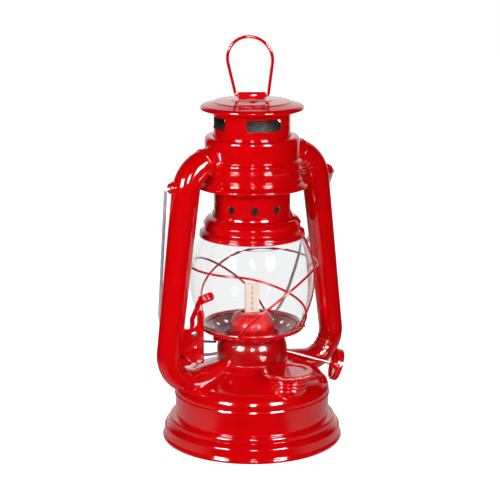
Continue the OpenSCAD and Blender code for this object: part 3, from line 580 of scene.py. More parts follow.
# %% Tank wall
rim_roll = arc((56.5, 1.5), 1.5, 150, 395, 18)
tank_line = [*rim_roll, (57.1, 3.4, 0.5), (56.9, 5.4, 3), (56.6, 8.9, 1.6), (55.2, 10.9, 1.4),
             (53.5, 11.9, 0.3), (53.2, 15.2, 1.5), (49.5, 15.4, 0.5), (49.5, 32.0)]
hand_over(spun("tank_wall_shell", sheet_of(tank_line), steps=160), "frame", "tank_wall")

# %% Tank dome
dome_line = [(49.4, 29.2), (50.1, 29.5, 0.4), (50.15, 30.5, 0.5), (49.75, 31.4, 0.4),
             *arc((39.9, 32.3), 9.9, 2, 68, 14), (30.0, 47.4, 8), (27.7, 48.3, 0.5), (27.3, 49.1, 0.5),
             (25.0, 49.9, 1.0), (22.9, 51.0, 0.6), (19.0, 51.0)]
hand_over(spun("tank_dome_shell", sheet_of(dome_line), steps=160), "frame", "tank_dome")

# %% [markdown]
# ## Burner
# A barrel-shaped drum sits in a collar on the dome. The cone on top of it has a slot for the wick.

# %% Burner drum and collar
drum_line = [(22.0, 51.0), (22.5, 55.0, 14), (22.7, 57.6, 6), *arc((9.0, 59.0), 13.7, 1, 38, 10),
             (19.2, 67.5, 0.8), (17.5, 67.5)]
# The drum's satin finish is real, and its deeper red is painted shade.
hand_over(spun("burner_drum_shell", sheet_of(drum_line)), "frame", "burner_drum", paint="satin_shaded_enamel")
collar_line = [(22.0, 51.0), (22.9, 51.0, 0.2), (22.9, 52.5, 0.6), (22.2, 52.9)]
hand_over(spun("burner_collar_ring", sheet_of(collar_line, 0.4, 0.4)), "frame", "burner_collar")

# %% [markdown]
# Holes are cut with cutters: one is modelled, copied round the axis by a spin of duplicates, and
# taken away with a Boolean modifier.

# %% Cutting holes
def ring_of(cutter, count, turn):
    """Turns a cutter about the lantern's axis and copies it round, so that count of it stand there."""
    cutter.data.transform(Matrix.Rotation(radians(turn), 4, "Z"))
    if count > 1:
        start_edit()
        bpy.ops.mesh.spin(steps=count - 1, dupli=True, angle=2 * pi * (count - 1) / count,
                          center=(0, 0, 0), axis=(0, 0, 1))
        bpy.ops.object.mode_set(mode="OBJECT")
    return cutter


def cut_by(piece, cutter):
    """Takes the cutter away from the piece and throws the cutter away."""
    on_bench(piece)
    cut = piece.modifiers.new("cut", "BOOLEAN")
    cut.operation = "DIFFERENCE"
    cut.solver = "EXACT"
    cut.object = cutter
    bpy.ops.object.modifier_apply(modifier=cut.name)
    bpy.data.objects.remove(cutter)
    bpy.ops.object.shade_smooth_by_angle(angle=radians(SMOOTH))


def round_cutter(place, lean, radius, length, count, turn):
    """A ring of round cutters. Each stands at a place in mm and leans about Y, in degrees."""
    clear_bench()
    bpy.ops.mesh.primitive_cylinder_add(vertices=28, radius=radius * MM, depth=length * MM,
                                        location=Vector(place) * MM, rotation=(0, radians(lean), 0))
    bpy.ops.object.transform_apply()
    return ring_of(bpy.context.object, count, turn)


def block_cutter(size, place, round_r, count, turn):
    """A ring of box cutters with round corners in the XZ face, by size and middle in mm."""
    clear_bench()
    bpy.ops.mesh.primitive_cube_add(size=1, location=Vector(place) * MM)
    block = bpy.context.object
    block.scale = Vector(size) * MM
    bpy.ops.object.transform_apply()
    corners = block.data.vertices
    along_y = [e.index for e in block.data.edges
               if abs(corners[e.vertices[0]].co.y - corners[e.vertices[1]].co.y) > SAME_PLACE]
    bpy.ops.object.mode_set(mode="EDIT")
    bpy.ops.mesh.select_all(action="DESELECT")
    bpy.ops.mesh.select_mode(type="EDGE")
    bpy.ops.object.mode_set(mode="OBJECT")
    for edge in along_y:
        block.data.edges[edge].select = True
    bpy.ops.object.mode_set(mode="EDIT")
    bpy.ops.mesh.bevel(offset=round_r * MM, segments=5)
    bpy.ops.mesh.select_mode(type="VERT")
    bpy.ops.object.mode_set(mode="OBJECT")
    return ring_of(block, count, turn)


# %% Burner cone
WICK_TURN = 66.0 - 90.0
CONE_R, CONE_Z, CONE_WIDE, CONE_HIGH = 7.35, 69.7, 7.65, 13.3
cone_turns = [radians(a) for a in range(6, 79, 6)]
cone_line = [(15.0, 66.7), (15.0, CONE_Z, 2),
             *[(CONE_R + CONE_WIDE * cos(t), CONE_Z + CONE_HIGH * sin(t)) for t in cone_turns],
             (7.0, 83.0, 0.8), (0.0, 83.0)]
burner_cone = spun("burner_cone_shell", lid_of(cone_line))
cut_by(burner_cone, block_cutter((14.0, 5.0, 14.0), (0, 0, 83.0), round_r=0.3, count=1, turn=WICK_TURN))
# The cone's satin finish is real, and its deeper red is painted shade.
hand_over(burner_cone, "frame", "burner_cone", paint="satin_shaded_enamel")

# %% [markdown]
# ## Globe and its carriage
# The globe plate is a dish with a ring of air holes. The glass stands on its ledge inside the lip.

# %% Globe plate
DISH_R, DISH_UP = 31.0, 0.3
plate_line = [(17.9, 67.8), (23.1, 67.8, 1.2), (29.3, 72.6, 1.2), (33.2, 72.6, 1.0), (33.2, 75.0)]
globe_plate = spun("globe_plate_dish", sheet_of(plate_line))
cut_by(globe_plate, round_cutter((26.2, 0, 70.4), lean=-37.7, radius=1.5, length=6, count=20, turn=9))
hand_over(globe_plate, "globe_carriage", "globe_plate")
# The dish's top inside the globe gets painted shade.
second_finish(globe_plate, "painted_shade_dish",
              lambda face: face.normal.z > DISH_UP and face.center.xy.length < DISH_R * MM)

# %% [markdown]
# The globe is blown glass of 1.6 mm, melted round at both lips. It is a closed solid, so that the light
# bends in and out of the wall as it does in real glass.

# %% Glass globe
GLASS = 1.6
GLASS_R, GLASS_Z, GLASS_BEND = 40.2, 105.0, 59.0
globe_line = [*arc((GLASS_R - GLASS_BEND, GLASS_Z), GLASS_BEND, -32.15, 26.0, 44),
              (32.9, 133.3, 3), (29.2, 136.0, 3), (29.2, 138.5)]
globe = spun("glass_globe", sheet_of(globe_line, 1.0, GLASS), steps=160, smooth=60)
hand_over(globe, "globe_carriage", "globe", slot="clear_glass")

# %% [markdown]
# ## Chimney, bell and hood
# The bell sits on the glass with two rings round its rim. The chimney tube rises out of it, through
# the air chamber to the hood, with a ring of round holes below and four windows above.

# %% Bell
bell_plain = [(33.2, 133.3), (33.4, 134.6, 0.5), (32.6, 137.2, 0.5), (30.7, 138.7, 1), (30.7, 142.0, 3),
              (28.6, 145.4, 2), (25.6, 146.8, 1), (25.1, 149.0)]
bell_line = [(33.2, 133.3), (33.9, 134.0, 0.7), (33.2, 135.2, 0.3), (33.6, 136.4, 0.8), (30.8, 138.3, 0.7),
             (30.7, 141.2, 0.6), (31.1, 142.2, 0.7), (28.9, 145.4, 2.2), (25.7, 146.6, 0.8), (25.1, 149.0)]
bell = spun("bell_shell", sheet_of(bell_line, plain=bell_plain))
hand_over(bell, "chimney", "bell")
# The bell's inner faces get painted shade.
second_finish(bell, "painted_shade_tin", faces_axis)

# %% Chimney tube
HOOD_TURN = -32.0
chimney = spun("chimney_pipe", sheet_of([(24.3, 146.0), (24.3, 216.0)]))
cut_by(chimney, round_cutter((24.0, 0, 153.4), lean=90, radius=2.5, length=8, count=10, turn=HOOD_TURN + 4 - 90))
cut_by(chimney, block_cutter((22.6, 12.0, 7.4), (0, -23.0, 206.5), round_r=1.6, count=4, turn=HOOD_TURN + 19.5))
hand_over(chimney, "chimney", "chimney_tube")
# The chimney tube's inner faces get painted shade.
second_finish(chimney, "painted_shade_tin", faces_axis)

# %% Air chamber
chamber_plain = [(35.5, 165.6), (35.3, 166.9, 0.6), (31.6, 170.2, 1), (31.5, 181.2, 0.6), (29.9, 183.4, 0.6),
                 (29.9, 197.6, 2.4), (24.9, 197.6)]
chamber_line = [(35.5, 165.6), (35.7, 166.8, 0.7), (34.0, 168.3, 1.2), (32.4, 169.6, 0.8), (32.5, 171.0, 0.7),
                (31.5, 172.2, 0.6), (31.5, 176.3, 0.5), (32.2, 177.6, 0.8), (31.4, 179.0, 0.5), (31.3, 180.6, 0.4),
                (31.9, 182.1, 0.8), (30.0, 183.6, 0.5), (29.9, 197.6, 2.4), (24.9, 197.6)]
hand_over(spun("air_chamber_shell", sheet_of(chamber_line, plain=chamber_plain)), "frame", "air_chamber")

# %% Hood
hood_line = [(31.3, 214.2), (31.9, 213.9, 0.5), (32.6, 214.5, 0.5), (32.5, 215.9, 1.0), (31.0, 217.0, 1.4),
             (24.8, 218.5, 0.8), (23.8, 219.1, 0.6), (21.5, 219.15, 1.5), (13.7, 219.6, 1), (12.7, 220.1, 0.6),
             (2.0, 220.2), (0.0, 220.2)]
hand_over(spun("hood_cap", lid_of(hood_line)), "chimney", "hood")

# %% [markdown]
# ## Side tubes
# Each tube is one pipe: a circle spun round the top bend, drawn down the straight while it narrows, spun
# round the low bend and drawn in over the dome to the burner. Bending puckers the inside of a thin
# pipe, so the inner half of both bends is pushed in by a few shallow folds.

# %% Side tubes
TOP_C = Vector((28.3, 0, 164.0))
LOW_C = Vector((42.274, 0, 62.6))
TOP_BEND, LOW_BEND = 20.0, 19.0
TOP_R, LOW_R = 8.9, 7.8
LEAN, STUB_RISE = radians(7.3), radians(8)
STUB_LONG = 20.0
TUBE_END = 28.95
TUBE_SIDES, TOP_STEPS, RUN_STEPS, LOW_STEPS = 56, 44, 12, 50
FOLD, TOP_FOLDS, LOW_FOLDS = 0.34, 7, 8
FOLD_FROM, FOLD_CROSS, FOLD_ENDS, ON_TUBE = 0.25, 1.5, 0.6, 1.01
SIDES = ((1, "right"), (-1, "left"))


def side_tube(name, side):
    """The tube on the right, or on the left for side -1."""
    clear_bench()
    mirrored = Vector((side, 1, 1))
    bpy.ops.mesh.primitive_circle_add(vertices=TUBE_SIDES, radius=TOP_R * MM, rotation=(0, pi / 2, 0),
                                      location=(TOP_C + Vector((0, 0, TOP_BEND))) * mirrored * MM)
    bpy.ops.object.transform_apply()
    start_edit()
    bpy.ops.mesh.spin(steps=TOP_STEPS, angle=-side * (pi / 2 - LEAN), center=TOP_C * mirrored * MM, axis=(0, 1, 0))
    out = Vector((cos(LEAN), 0, sin(LEAN)))
    top, low = TOP_C + TOP_BEND * out, LOW_C + LOW_BEND * out
    step = (low - top) / RUN_STEPS * mirrored * MM
    for k in range(1, RUN_STEPS + 1):
        goal = top.lerp(low, k / RUN_STEPS) * mirrored * MM
        before, after = (TOP_R + (LOW_R - TOP_R) * j / RUN_STEPS for j in (k - 1, k))
        bpy.ops.mesh.extrude_region_move(TRANSFORM_OT_translate={"value": step})
        bpy.ops.transform.resize(value=[after / before] * 3, center_override=goal)
    bpy.ops.mesh.spin(steps=LOW_STEPS, angle=-side * (pi / 2 + LEAN + STUB_RISE),
                      center=LOW_C * mirrored * MM, axis=(0, 1, 0))
    stub = Vector((-cos(STUB_RISE), 0, sin(STUB_RISE))) * STUB_LONG
    bpy.ops.mesh.extrude_region_move(TRANSFORM_OT_translate={"value": stub * mirrored * MM})
    merge_doubles()
    bpy.ops.mesh.fill_holes(sides=0)
    bpy.ops.mesh.select_face_by_sides(number=8, type="GREATER")
    bpy.ops.mesh.poke()
    end_edit()
    tube = finished(name)
    for vertex in tube.data.vertices:
        if vertex.co.z > TOP_C.z * MM and vertex.co.xy.length < TUBE_END * MM:
            vertex.co.x = side * sqrt((TUBE_END * MM) ** 2 - vertex.co.y ** 2)
    pucker(tube, TOP_C * mirrored * MM, TOP_BEND * MM, TOP_R * MM, side, LEAN, pi / 2, TOP_FOLDS)
    pucker(tube, LOW_C * mirrored * MM, LOW_BEND * MM, LOW_R * MM, side, -pi / 2 - STUB_RISE, LEAN, LOW_FOLDS)
    return tube


def pucker(tube, centre, bend_r, tube_r, side, start, end, folds):
    """Shallow folds on the inside of a bend, which fade out at its ends and on its outer half."""
    for vertex in tube.data.vertices:
        x, z = (vertex.co.x - centre.x) * side, vertex.co.z - centre.z
        reach = hypot(x, z)
        share = (atan2(z, x) - start) / (end - start)
        across = (reach - bend_r) / tube_r
        if not 0 < share < 1 or abs(across) > ON_TUBE:
            continue
        inner = max(0.0, FOLD_FROM - across) / (1 + FOLD_FROM)
        wave = 0.5 - 0.5 * cos(2 * pi * folds * share)
        axis = Vector((centre.x + side * bend_r * x / reach, 0, centre.z + bend_r * z / reach))
        way = (vertex.co - axis).normalized()
        vertex.co -= way * FOLD * MM * wave * inner ** FOLD_CROSS * sin(pi * share) ** FOLD_ENDS


for side, name in SIDES:
    hand_over(side_tube(f"side_tube_{name}", side), "frame", f"tube_{name}")

# %% Ears for the bail
EAR_Z, EAR_ROOT, EAR_LONG = 169.5, 48.3, 11.7
ear_line = [(1.15, 4.0), (4.2, 4.0, 0.2), (4.2, EAR_LONG - 2.6, 0.6), (3.4, EAR_LONG - 1.4, 0.6),
            (3.4, EAR_LONG - 0.5, 0.5), (2.4, EAR_LONG, 0.5), (1.3, EAR_LONG, 0.3), (1.15, EAR_LONG - 1.0)]
for side, name in SIDES:
    ear = spun(f"ear_{name}_boss", pressed(ear_line, 0.3), steps=48)
    lie = Matrix.Translation((side * EAR_ROOT * MM, 0, EAR_Z * MM)) @ Matrix.Rotation(side * pi / 2, 4, "Y")
    hand_over(moved_to(ear, lie), "frame", f"ear_{name}")

# %% [markdown]
# ## Wires
# The bail, the lift loop, the two guard hoops and the lifting wire are round wire bent by hand. A wire is
# a curve through its bends with a round bevel, made a mesh. Its points repeat the solid's route.

# %% Drawing a wire
WIRE_SMOOTH = 50


def wire(name, points, radius, round_steps=4, sizes=None):
    """A round wire through points in metres. Sizes make it thicker or thinner at each point."""
    clear_bench()
    bpy.ops.curve.primitive_nurbs_path_add()
    curve = bpy.context.object
    curve.data.splines.clear()
    spline = curve.data.splines.new("POLY")
    spline.points.add(len(points) - 1)
    for knot, point, size in zip(spline.points, points, sizes or [1.0] * len(points)):
        knot.co = (*point, 1)
        knot.radius = size
    curve.data.dimensions = "3D"
    curve.data.bevel_depth = radius * MM
    curve.data.bevel_resolution = round_steps
    curve.data.use_fill_caps = True
    bpy.ops.object.convert(target="MESH")
    start_edit()
    merge_doubles()
    end_edit()
    return finished(name, WIRE_SMOOTH)


def both_sides(half):
    """A whole line from its right half, as upright [x, 0, z] points."""
    return [Vector((x, 0, z)) * MM for x, z in half] + [Vector((-x, 0, z)) * MM for x, z in reversed(half)]


# %% Bail
BAIL_SLOPE, BAIL_X, BAIL_ELBOW, BAIL_WIRE = 7.7, 62.0, 1.8, 1.1
BAIL_LONG, BAIL_HANG = 135.49, 20.265
slope = radians(BAIL_SLOPE)
elbow = (BAIL_X - BAIL_ELBOW * cos(slope), -BAIL_ELBOW * sin(slope))
pin_z = elbow[1] - BAIL_ELBOW
crown_top = BAIL_LONG + pin_z
crown_r = (BAIL_X - crown_top * tan(slope)) / (cos(slope) + (sin(slope) - 1) * tan(slope))
bail_half = [(57.6, pin_z), *arc(elbow, BAIL_ELBOW, -90, BAIL_SLOPE, 8),
             *arc((0, crown_top - crown_r), crown_r, BAIL_SLOPE, 89, 36)]
hang = (Matrix.Translation((0, 0, EAR_Z * MM)) @ Matrix.Rotation(radians(180 + BAIL_HANG), 4, "X")
        @ Matrix.Translation((0, 0, -pin_z * MM)))
bail = wire("bail_wire", [hang @ p for p in both_sides(bail_half)], BAIL_WIRE)
hand_over(bail, "bail", "bail", slot="galvanised")

# %% Lift loop
HINGE_Z, KNUCKLE = 222.4, 17.0
LOOP_R, LOOP_H, LOOP_WIRE, LOOP_ELBOW, LOOP_LEAN = 14.0, 37.6, 1.0, 1.8, -2.0
loop_top = Vector((0, LOOP_H - LOOP_R - LOOP_WIRE))
loop_low = Vector((KNUCKLE / 2 + 0.1, LOOP_ELBOW))
loop_way = loop_top - loop_low
touch = degrees(atan2(loop_way.y, loop_way.x) - acos((LOOP_ELBOW - LOOP_R) / loop_way.length))
loop_half = [(KNUCKLE / 2 - 5, 0), *arc(loop_low, LOOP_ELBOW, -90, touch, 8),
             *arc(loop_top, LOOP_R, touch, 88, 30)]
stand = Matrix.Translation((0, 0, HINGE_Z * MM)) @ Matrix.Rotation(radians(HOOD_TURN), 4, "Z")
lean = Matrix.Identity(4)
lean[0][2] = LOOP_LEAN / LOOP_H
loop = wire("lift_loop_wire", [stand @ lean @ p for p in both_sides(loop_half)], LOOP_WIRE)
hand_over(loop, "loop", "lift_loop")

# %% Guard hoops
GUARD_WIRE, GUARD_TOP, GUARD_LOW = 0.75, 115.4, 74.5
GUARD_END, GUARD_LEVEL, GUARD_STEPS, GUARD_FALL = 137.0, 45.0, 110, 1.9
GUARD_TIP, GUARD_FADE = 4.0, 22.0
GUARD_TOUCH, GUARD_AIR, GUARD_CROSS = 0.05, 0.4, 0.15
PLATE_R = 33.2


def glass_r(z):
    """Outer radius of the globe at a height, in mm."""
    return GLASS_R - GLASS_BEND + sqrt(GLASS_BEND ** 2 - (z - GLASS_Z) ** 2)


def guard_route(turn, layer):
    """A hoop: level round one side tube, then falling along the glass to the plate's rim."""
    route = []
    for i in range(-GUARD_STEPS, GUARD_STEPS + 1):
        a = GUARD_END * i / GUARD_STEPS
        fall = (max(0.0, abs(a) - GUARD_LEVEL) / (GUARD_END - GUARD_LEVEL)) ** GUARD_FALL
        z = GUARD_TOP - (GUARD_TOP - GUARD_LOW) * fall
        fade = max(0.0, min(1.0, (GUARD_END - GUARD_TIP - abs(a)) / GUARD_FADE))
        r = max(glass_r(z), PLATE_R) + GUARD_WIRE + GUARD_TOUCH
        r += fade * (GUARD_AIR + layer * (2 * GUARD_WIRE + GUARD_CROSS))
        t = radians(a + turn)
        route.append(Vector((r * cos(t), r * sin(t), z)) * MM)
    return route


for name, turn, layer in (("left", 180, 0), ("right", 0, 1)):
    hoop = wire(f"guard_hoop_{name}", guard_route(turn, layer), GUARD_WIRE, 3)
    hand_over(hoop, "globe_carriage", f"guard_wire_{name}")

# %% [markdown]
# ## Filler
# The neck is a short cup with pressed rings. Its cap screws in over a rubber ring, and fine beads round
# its rim give the fingers a hold. Both are spun on the lantern's axis and then moved over to the filler.

# %% Filler neck
cap_low, cap_high = (Vector(corner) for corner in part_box("filler_cap"))
filler_axis = (cap_low + cap_high) / 2
FILLER = Matrix.Translation((filler_axis.x, filler_axis.y, 0))
neck_line = [(8.3, 33.0), (8.3, 37.4, 2), (10.2, 38.8, 2), (11.7, 41.2, 1.6), (12.0, 43.0, 0.5),
             (11.6, 43.7, 0.3), (12.5, 44.6, 0.5), (12.6, 45.6, 0.5), (12.1, 46.2, 0.3), (13.0, 47.0, 0.5),
             (13.1, 48.0, 0.5), (12.7, 48.6, 0.3), (13.9, 49.3, 0.4), (13.9, 50.0, 0.3), (7.9, 50.0, 0.4),
             (7.5, 49.4, 0.3), (7.5, 33.0)]
filler_neck = moved_to(spun("filler_neck_cup", pressed(neck_line, 0.4), steps=96), FILLER)
hand_over(filler_neck, "frame", "filler_neck")


# %% Filler cap and its ring
def beaded(piece, count, depth, inner):
    """Fine beads round the rim of a piece that is still on the axis, beyond a radius in mm."""
    for vertex in piece.data.vertices:
        across = Vector((vertex.co.x, vertex.co.y, 0))
        if across.length > inner * MM:
            wave = 0.5 - 0.5 * cos(count * atan2(across.y, across.x))
            vertex.co -= across.normalized() * depth * MM * wave


CAP_BEADS, BEAD_DEEP, BEAD_R = 72, 0.55, 15.9
cap_thread = [(7.2 - 0.4 * (k % 2), 50.0 - 0.4 * k, 0.2) for k in range(9)]
cap_line = [(0.0, 53.1), (10.8, 53.1, 1.2), (11.8, 53.5, 0.6), (12.8, 53.8, 0.5), (15.2, 53.8, 0.6),
            (16.0, 53.3, 0.5), (16.4, 52.6, 0.5), (16.4, 51.5, 0.5), (15.8, 50.8, 0.4), (7.2, 50.8, 0.2),
            *cap_thread, (6.6, 45.8, 0.3), (0.0, 45.8)]
filler_cap = spun("filler_cap_disc", pressed(cap_line, 0.4), steps=4 * CAP_BEADS)
beaded(filler_cap, CAP_BEADS, BEAD_DEEP, BEAD_R)
hand_over(moved_to(filler_cap, FILLER), "filler_cap", "filler_cap")
ring_line = [(7.6, 50.05), (12.8, 50.05, 0.3), (12.8, 50.75, 0.3), (7.6, 50.75, 0.3), (7.6, 50.05)]
filler_ring = moved_to(spun("filler_ring", pressed(ring_line, 0.3), steps=96), FILLER)
hand_over(filler_ring, "filler_seal", "filler_gasket", slot="cap_rubber")

# %% [markdown]
# ## Wick winder's knob
# The knob is pressed from sheet: a rolled rim, a dished web with one ring, and the shaft's riveted end in
# the middle. It is spun upright and laid along the axis of its joint.

# %% Knob
winder = next(j for j in frame["record"]["behaviour"]["joints"] if j["name"] == "wick_knob_turn")
winder_turn = Vector(winder["axis"]).to_track_quat("Z", "Y").to_matrix().to_4x4()
WINDER = Matrix.Translation(winder["pos_m"]) @ winder_turn
knob_line = [(0.0, 61.0), (1.0, 61.0, 0.4), (1.5, 60.4, 0.3), (2.6, 60.2, 0.6), (3.0, 59.4, 0.5),
             (5.2, 59.2, 0.4), (5.9, 59.8, 0.5), (6.7, 59.2, 0.4), (8.3, 59.2, 0.6), (8.9, 60.6, 0.5),
             (9.6, 61.2, 0.6), (10.5, 60.6, 0.6), (10.5, 59.5, 0.4), (10.1, 58.95, 0.3), (10.5, 58.4, 0.4),
             (10.5, 57.3, 0.6), (9.6, 56.7, 0.5), (8.8, 57.2, 0.5), (8.2, 58.2, 0.6), (3.2, 58.2, 0.6),
             (2.6, 56.7, 0.4), (0.9, 56.7)]
knob = moved_to(spun("wick_knob_disc", pressed(knob_line, 0.4), steps=96), WINDER)
hand_over(knob, "wick_winder", "wick_knob")

# %% [markdown]
# ## Wick
# The wick is a flat woven cotton tape. Lengthwise yarns stand up as ribs, the weft ties them down at every
# pick, a dark tracer thread is stitched along its middle, and the cut end frays. A flat oval is extruded in
# even steps, and each point then follows the weave.

# %% Woven tape
wick_low, wick_high = (Vector(corner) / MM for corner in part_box("wick"))
WICK_WIDE, WICK_THICK = 9.5, 2.0
WARP, PICK = 0.72, 0.96
RIB_HIGH, PICK_HIGH, TAPE_INSET = 0.07, 0.06, 0.10
TAPE_ROWS = 4 * round((wick_high.z - wick_low.z) / PICK)
TAPE_POINTS = 104
LAY_WICK = Matrix.Rotation(radians(WICK_TURN), 4, "Z")


def tape_edge(share):
    """A point on the flat oval, in mm, with its outward way and its place along the edge."""
    flat, bend = WICK_WIDE - WICK_THICK, pi * WICK_THICK / 2
    along = share * 2 * (flat + bend)
    side = 1 if along < flat + bend else -1
    run = along % (flat + bend)
    if run < flat:
        way = Vector((0, -side, 0))
        return Vector((side * (run - flat / 2), 0, 0)) + way * WICK_THICK / 2, way, along
    turn = (run - flat) / bend * pi
    way = Vector((side * sin(turn), -side * cos(turn), 0))
    return Vector((side * flat / 2, 0, 0)) + way * WICK_THICK / 2, way, along


clear_bench()
bpy.ops.mesh.primitive_circle_add(vertices=TAPE_POINTS, radius=WICK_WIDE * MM)
start_edit()
bpy.ops.mesh.extrude_repeat(steps=TAPE_ROWS, offset=(0, 0, (wick_high.z - wick_low.z) / TAPE_ROWS * MM))
bpy.ops.mesh.select_all(action="SELECT")
bpy.ops.mesh.fill_holes(sides=0)
end_edit()
wick = bpy.context.object
for vertex in wick.data.vertices:
    share = atan2(vertex.co.y, vertex.co.x) / (2 * pi) % 1.0
    point, way, along = tape_edge(share)
    rib = cos(2 * pi * along / WARP)
    over = cos(pi * (2 * vertex.co.z / MM / PICK + round(along / WARP)))
    point += way * (RIB_HIGH * rib + PICK_HIGH * over - TAPE_INSET)
    vertex.co = point * MM + Vector((0, 0, vertex.co.z + wick_low.z * MM))
wick = moved_to(finished("wick_tape", 60), LAY_WICK)
hand_over(wick, "wick", "wick", slot="wick_cotton")


# %% Tracer and frayed end
def joined(name, pieces):
    """Joins pieces into one mesh."""
    on_bench(*pieces)
    bpy.ops.object.join()
    return finished(name, WIRE_SMOOTH)


STITCH, STITCH_STEP, STITCH_LOW, STITCH_R, STITCH_ARCH = 2.1, 3.4, 62.0, 0.27, 0.25
STITCH_TOP, ARCH_STEPS = 1.2, 6
stitches = []
for k in range(int((wick_high.z - STITCH_LOW) / STITCH_STEP)):
    top = wick_high.z - STITCH_TOP - k * STITCH_STEP
    arch = []
    for u in range(ARCH_STEPS + 1):
        y = -WICK_THICK / 2 + STITCH_ARCH * (1 - sin(pi * u / ARCH_STEPS))
        arch.append(LAY_WICK @ (Vector((0, y, top - STITCH * u / ARCH_STEPS)) * MM))
    stitches.append(wire("stitch", arch, STITCH_R, 2))
hand_over(joined("wick_tracer", stitches), "wick", slot="wick_cotton", paint="tracer_thread")

FRAY, FRAY_SEED, FRAY_STEPS = 34, 5, 3
FRAY_WIDE, FRAY_DEEP, FRAY_ROOT, FRAY_DRIFT = 0.93, 0.7, 0.6, 0.5
FRAY_TALL, FRAY_R = (0.7, 1.9), (0.12, 0.2)
chance = random.Random(FRAY_SEED)
threads = []
for k in range(FRAY):
    root = Vector((WICK_WIDE * (k / (FRAY - 1) - 0.5) * FRAY_WIDE, chance.uniform(-FRAY_DEEP, FRAY_DEEP),
                   wick_high.z - FRAY_ROOT))
    drift = Vector((*(chance.uniform(-FRAY_DRIFT, FRAY_DRIFT) for _ in range(2)), 0))
    tall = chance.uniform(*FRAY_TALL)
    strand = [(root + drift * (u / FRAY_STEPS) ** 2 + Vector((0, 0, tall * u / FRAY_STEPS))) * MM
              for u in range(FRAY_STEPS + 1)]
    threads.append(wire("thread", [LAY_WICK @ p for p in strand], chance.uniform(*FRAY_R), 1))
hand_over(joined("wick_fray", threads), "wick", slot="wick_cotton")

# %% [markdown]
# ## Chimney spring and lifting wire
# The spring presses the chimney down on the globe. It is a wire on a helix whose end turns lie flat.
# The globe lifts the chimney and the loop lifts it further, so the upper turns close with the one joint and
# the lower turns with the other.

# %% Spring and lifting wire
SPRING_WIRE, SPRING_TURNS, SPRING_FLAT, SPRING_SPLIT, TURN_STEPS = 0.6, 5, 0.06, 9.2, 48
spring_low, spring_high = (Vector(corner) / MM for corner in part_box("chimney_spring"))
spring_r = spring_high.x - SPRING_WIRE
spring_long = spring_high.z - spring_low.z - 2 * SPRING_WIRE
coil = []
for k in range(SPRING_TURNS * TURN_STEPS + 1):
    share = k / (SPRING_TURNS * TURN_STEPS)
    climb = share - SPRING_FLAT * sin(2 * pi * share)
    turn = 2 * pi * SPRING_TURNS * share
    coil.append(Vector((spring_r * cos(turn), spring_r * sin(turn),
                        spring_low.z + SPRING_WIRE + spring_long * climb)) * MM)
split = next(k for k, point in enumerate(coil) if point.z > (spring_high.z - SPRING_SPLIT) * MM)
upper = wire("chimney_coil_high", coil[split:], SPRING_WIRE)
hand_over(upper, None, "chimney_spring", slot="galvanised")
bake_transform(upper)
lower = wire("chimney_coil_low", coil[:split + 1], SPRING_WIRE)
hand_over(lower, None, "chimney_spring", slot="galvanised")
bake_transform(lower)

LIFT_WIRE = 0.8
LIFT_ROUTE = ((-43.9, -2.9, 74.1), (-43.9, -2.1, 74.1), (-43.4, -1.5, 73.7), (-36.6, 0.4, 68.85),
              (-35.4, 0.4, 68.2), (-27.0, 0.4, 66.6))
lifter = wire("lifting_wire", [Vector(p) * MM for p in LIFT_ROUTE], LIFT_WIRE)
hand_over(lifter, "lever", "lift_wire", slot="dark_wire")

# %% [markdown]
# ## Lever, bracket and strap
# These are cut from thicker strip, so they keep the outline of their solids. A copy of each solid gets its
# doubles merged, its flat faces made whole and its edges rounded, because a bare cut edge catches no light.

# %% Strip pieces
SHARP, FLAT = 35, 1


def rounded_copy(node, name, width=0.25):
    """A copy of a solid with its sharp edges rounded, by a width in mm."""
    piece = bpy.data.objects.new(name, frame["nodes"][node].data.copy())
    scene.collection.objects.link(piece)
    on_bench(piece)
    start_edit()
    merge_doubles()
    bpy.ops.mesh.dissolve_limited(angle_limit=radians(FLAT))
    bpy.ops.object.mode_set(mode="OBJECT")
    edge = piece.modifiers.new("edge", "BEVEL")
    edge.width = width * MM
    edge.segments = 3
    edge.limit_method = "ANGLE"
    edge.angle_limit = radians(SHARP)
    bpy.ops.object.modifier_apply(modifier=edge.name)
    return finished(name, SHARP)


hand_over(rounded_copy("lever", "thumb_lever"), "lever", "lever")
hand_over(rounded_copy("lever_bracket", "lever_plate", 0.2), "frame", "lever_bracket")
hand_over(rounded_copy("hood_strap", "hood_hinge"), "chimney", "hood_strap")

# %% Rivets and the lever's pin
BRACKET_Y = -5.4
RIVETS, PIN = ((-44.9, 66.9), (-50.0, 59.5)), (-46.0, 76.0)


def on_bracket(piece, x, z):
    """Lays a head that was spun on the axis on the bracket's face."""
    return moved_to(piece, Matrix.Translation(Vector((x, BRACKET_Y, z)) * MM) @ Matrix.Rotation(pi / 2, 4, "X"))


rivet_line = [(0.0, 1.25), *arc((0.0, -0.6), 1.85, 84, 36, 8), (2.05, 0.2, 0.2), (2.0, -0.1), (0.0, -0.1)]
rivets = [on_bracket(spun(f"rivet_{k}", pressed(rivet_line, 0.2), steps=40), *at) for k, at in enumerate(RIVETS)]
hand_over(joined("bracket_rivet_heads", rivets), "frame", "bracket_rivets")
pin_line = [(0.0, 1.0), (0.9, 0.95, 0.5), (1.8, 0.5, 0.5), (2.2, 0.0, 0.2), (1.2, 0.0, 0), (1.2, -2.8, 0),
            (1.7, -2.8, 0.2), (1.7, -3.6, 0.2), (0.0, -3.6)]
pin = on_bracket(spun("lever_pin_head", pressed(pin_line, 0.3), steps=40), *PIN)
hand_over(pin, "frame", "lever_pin", slot="tin_plate")

# %% [markdown]
# ## Solder and rings at the joints
# The tubes are soldered into the chamber and onto the dome, and the enamel runs over the lumpy bead that
# this leaves. A bead is a wire along the line where two surfaces meet, with its thickness changed from
# point to point. A pressed ring marks the end of each tube's top bend.

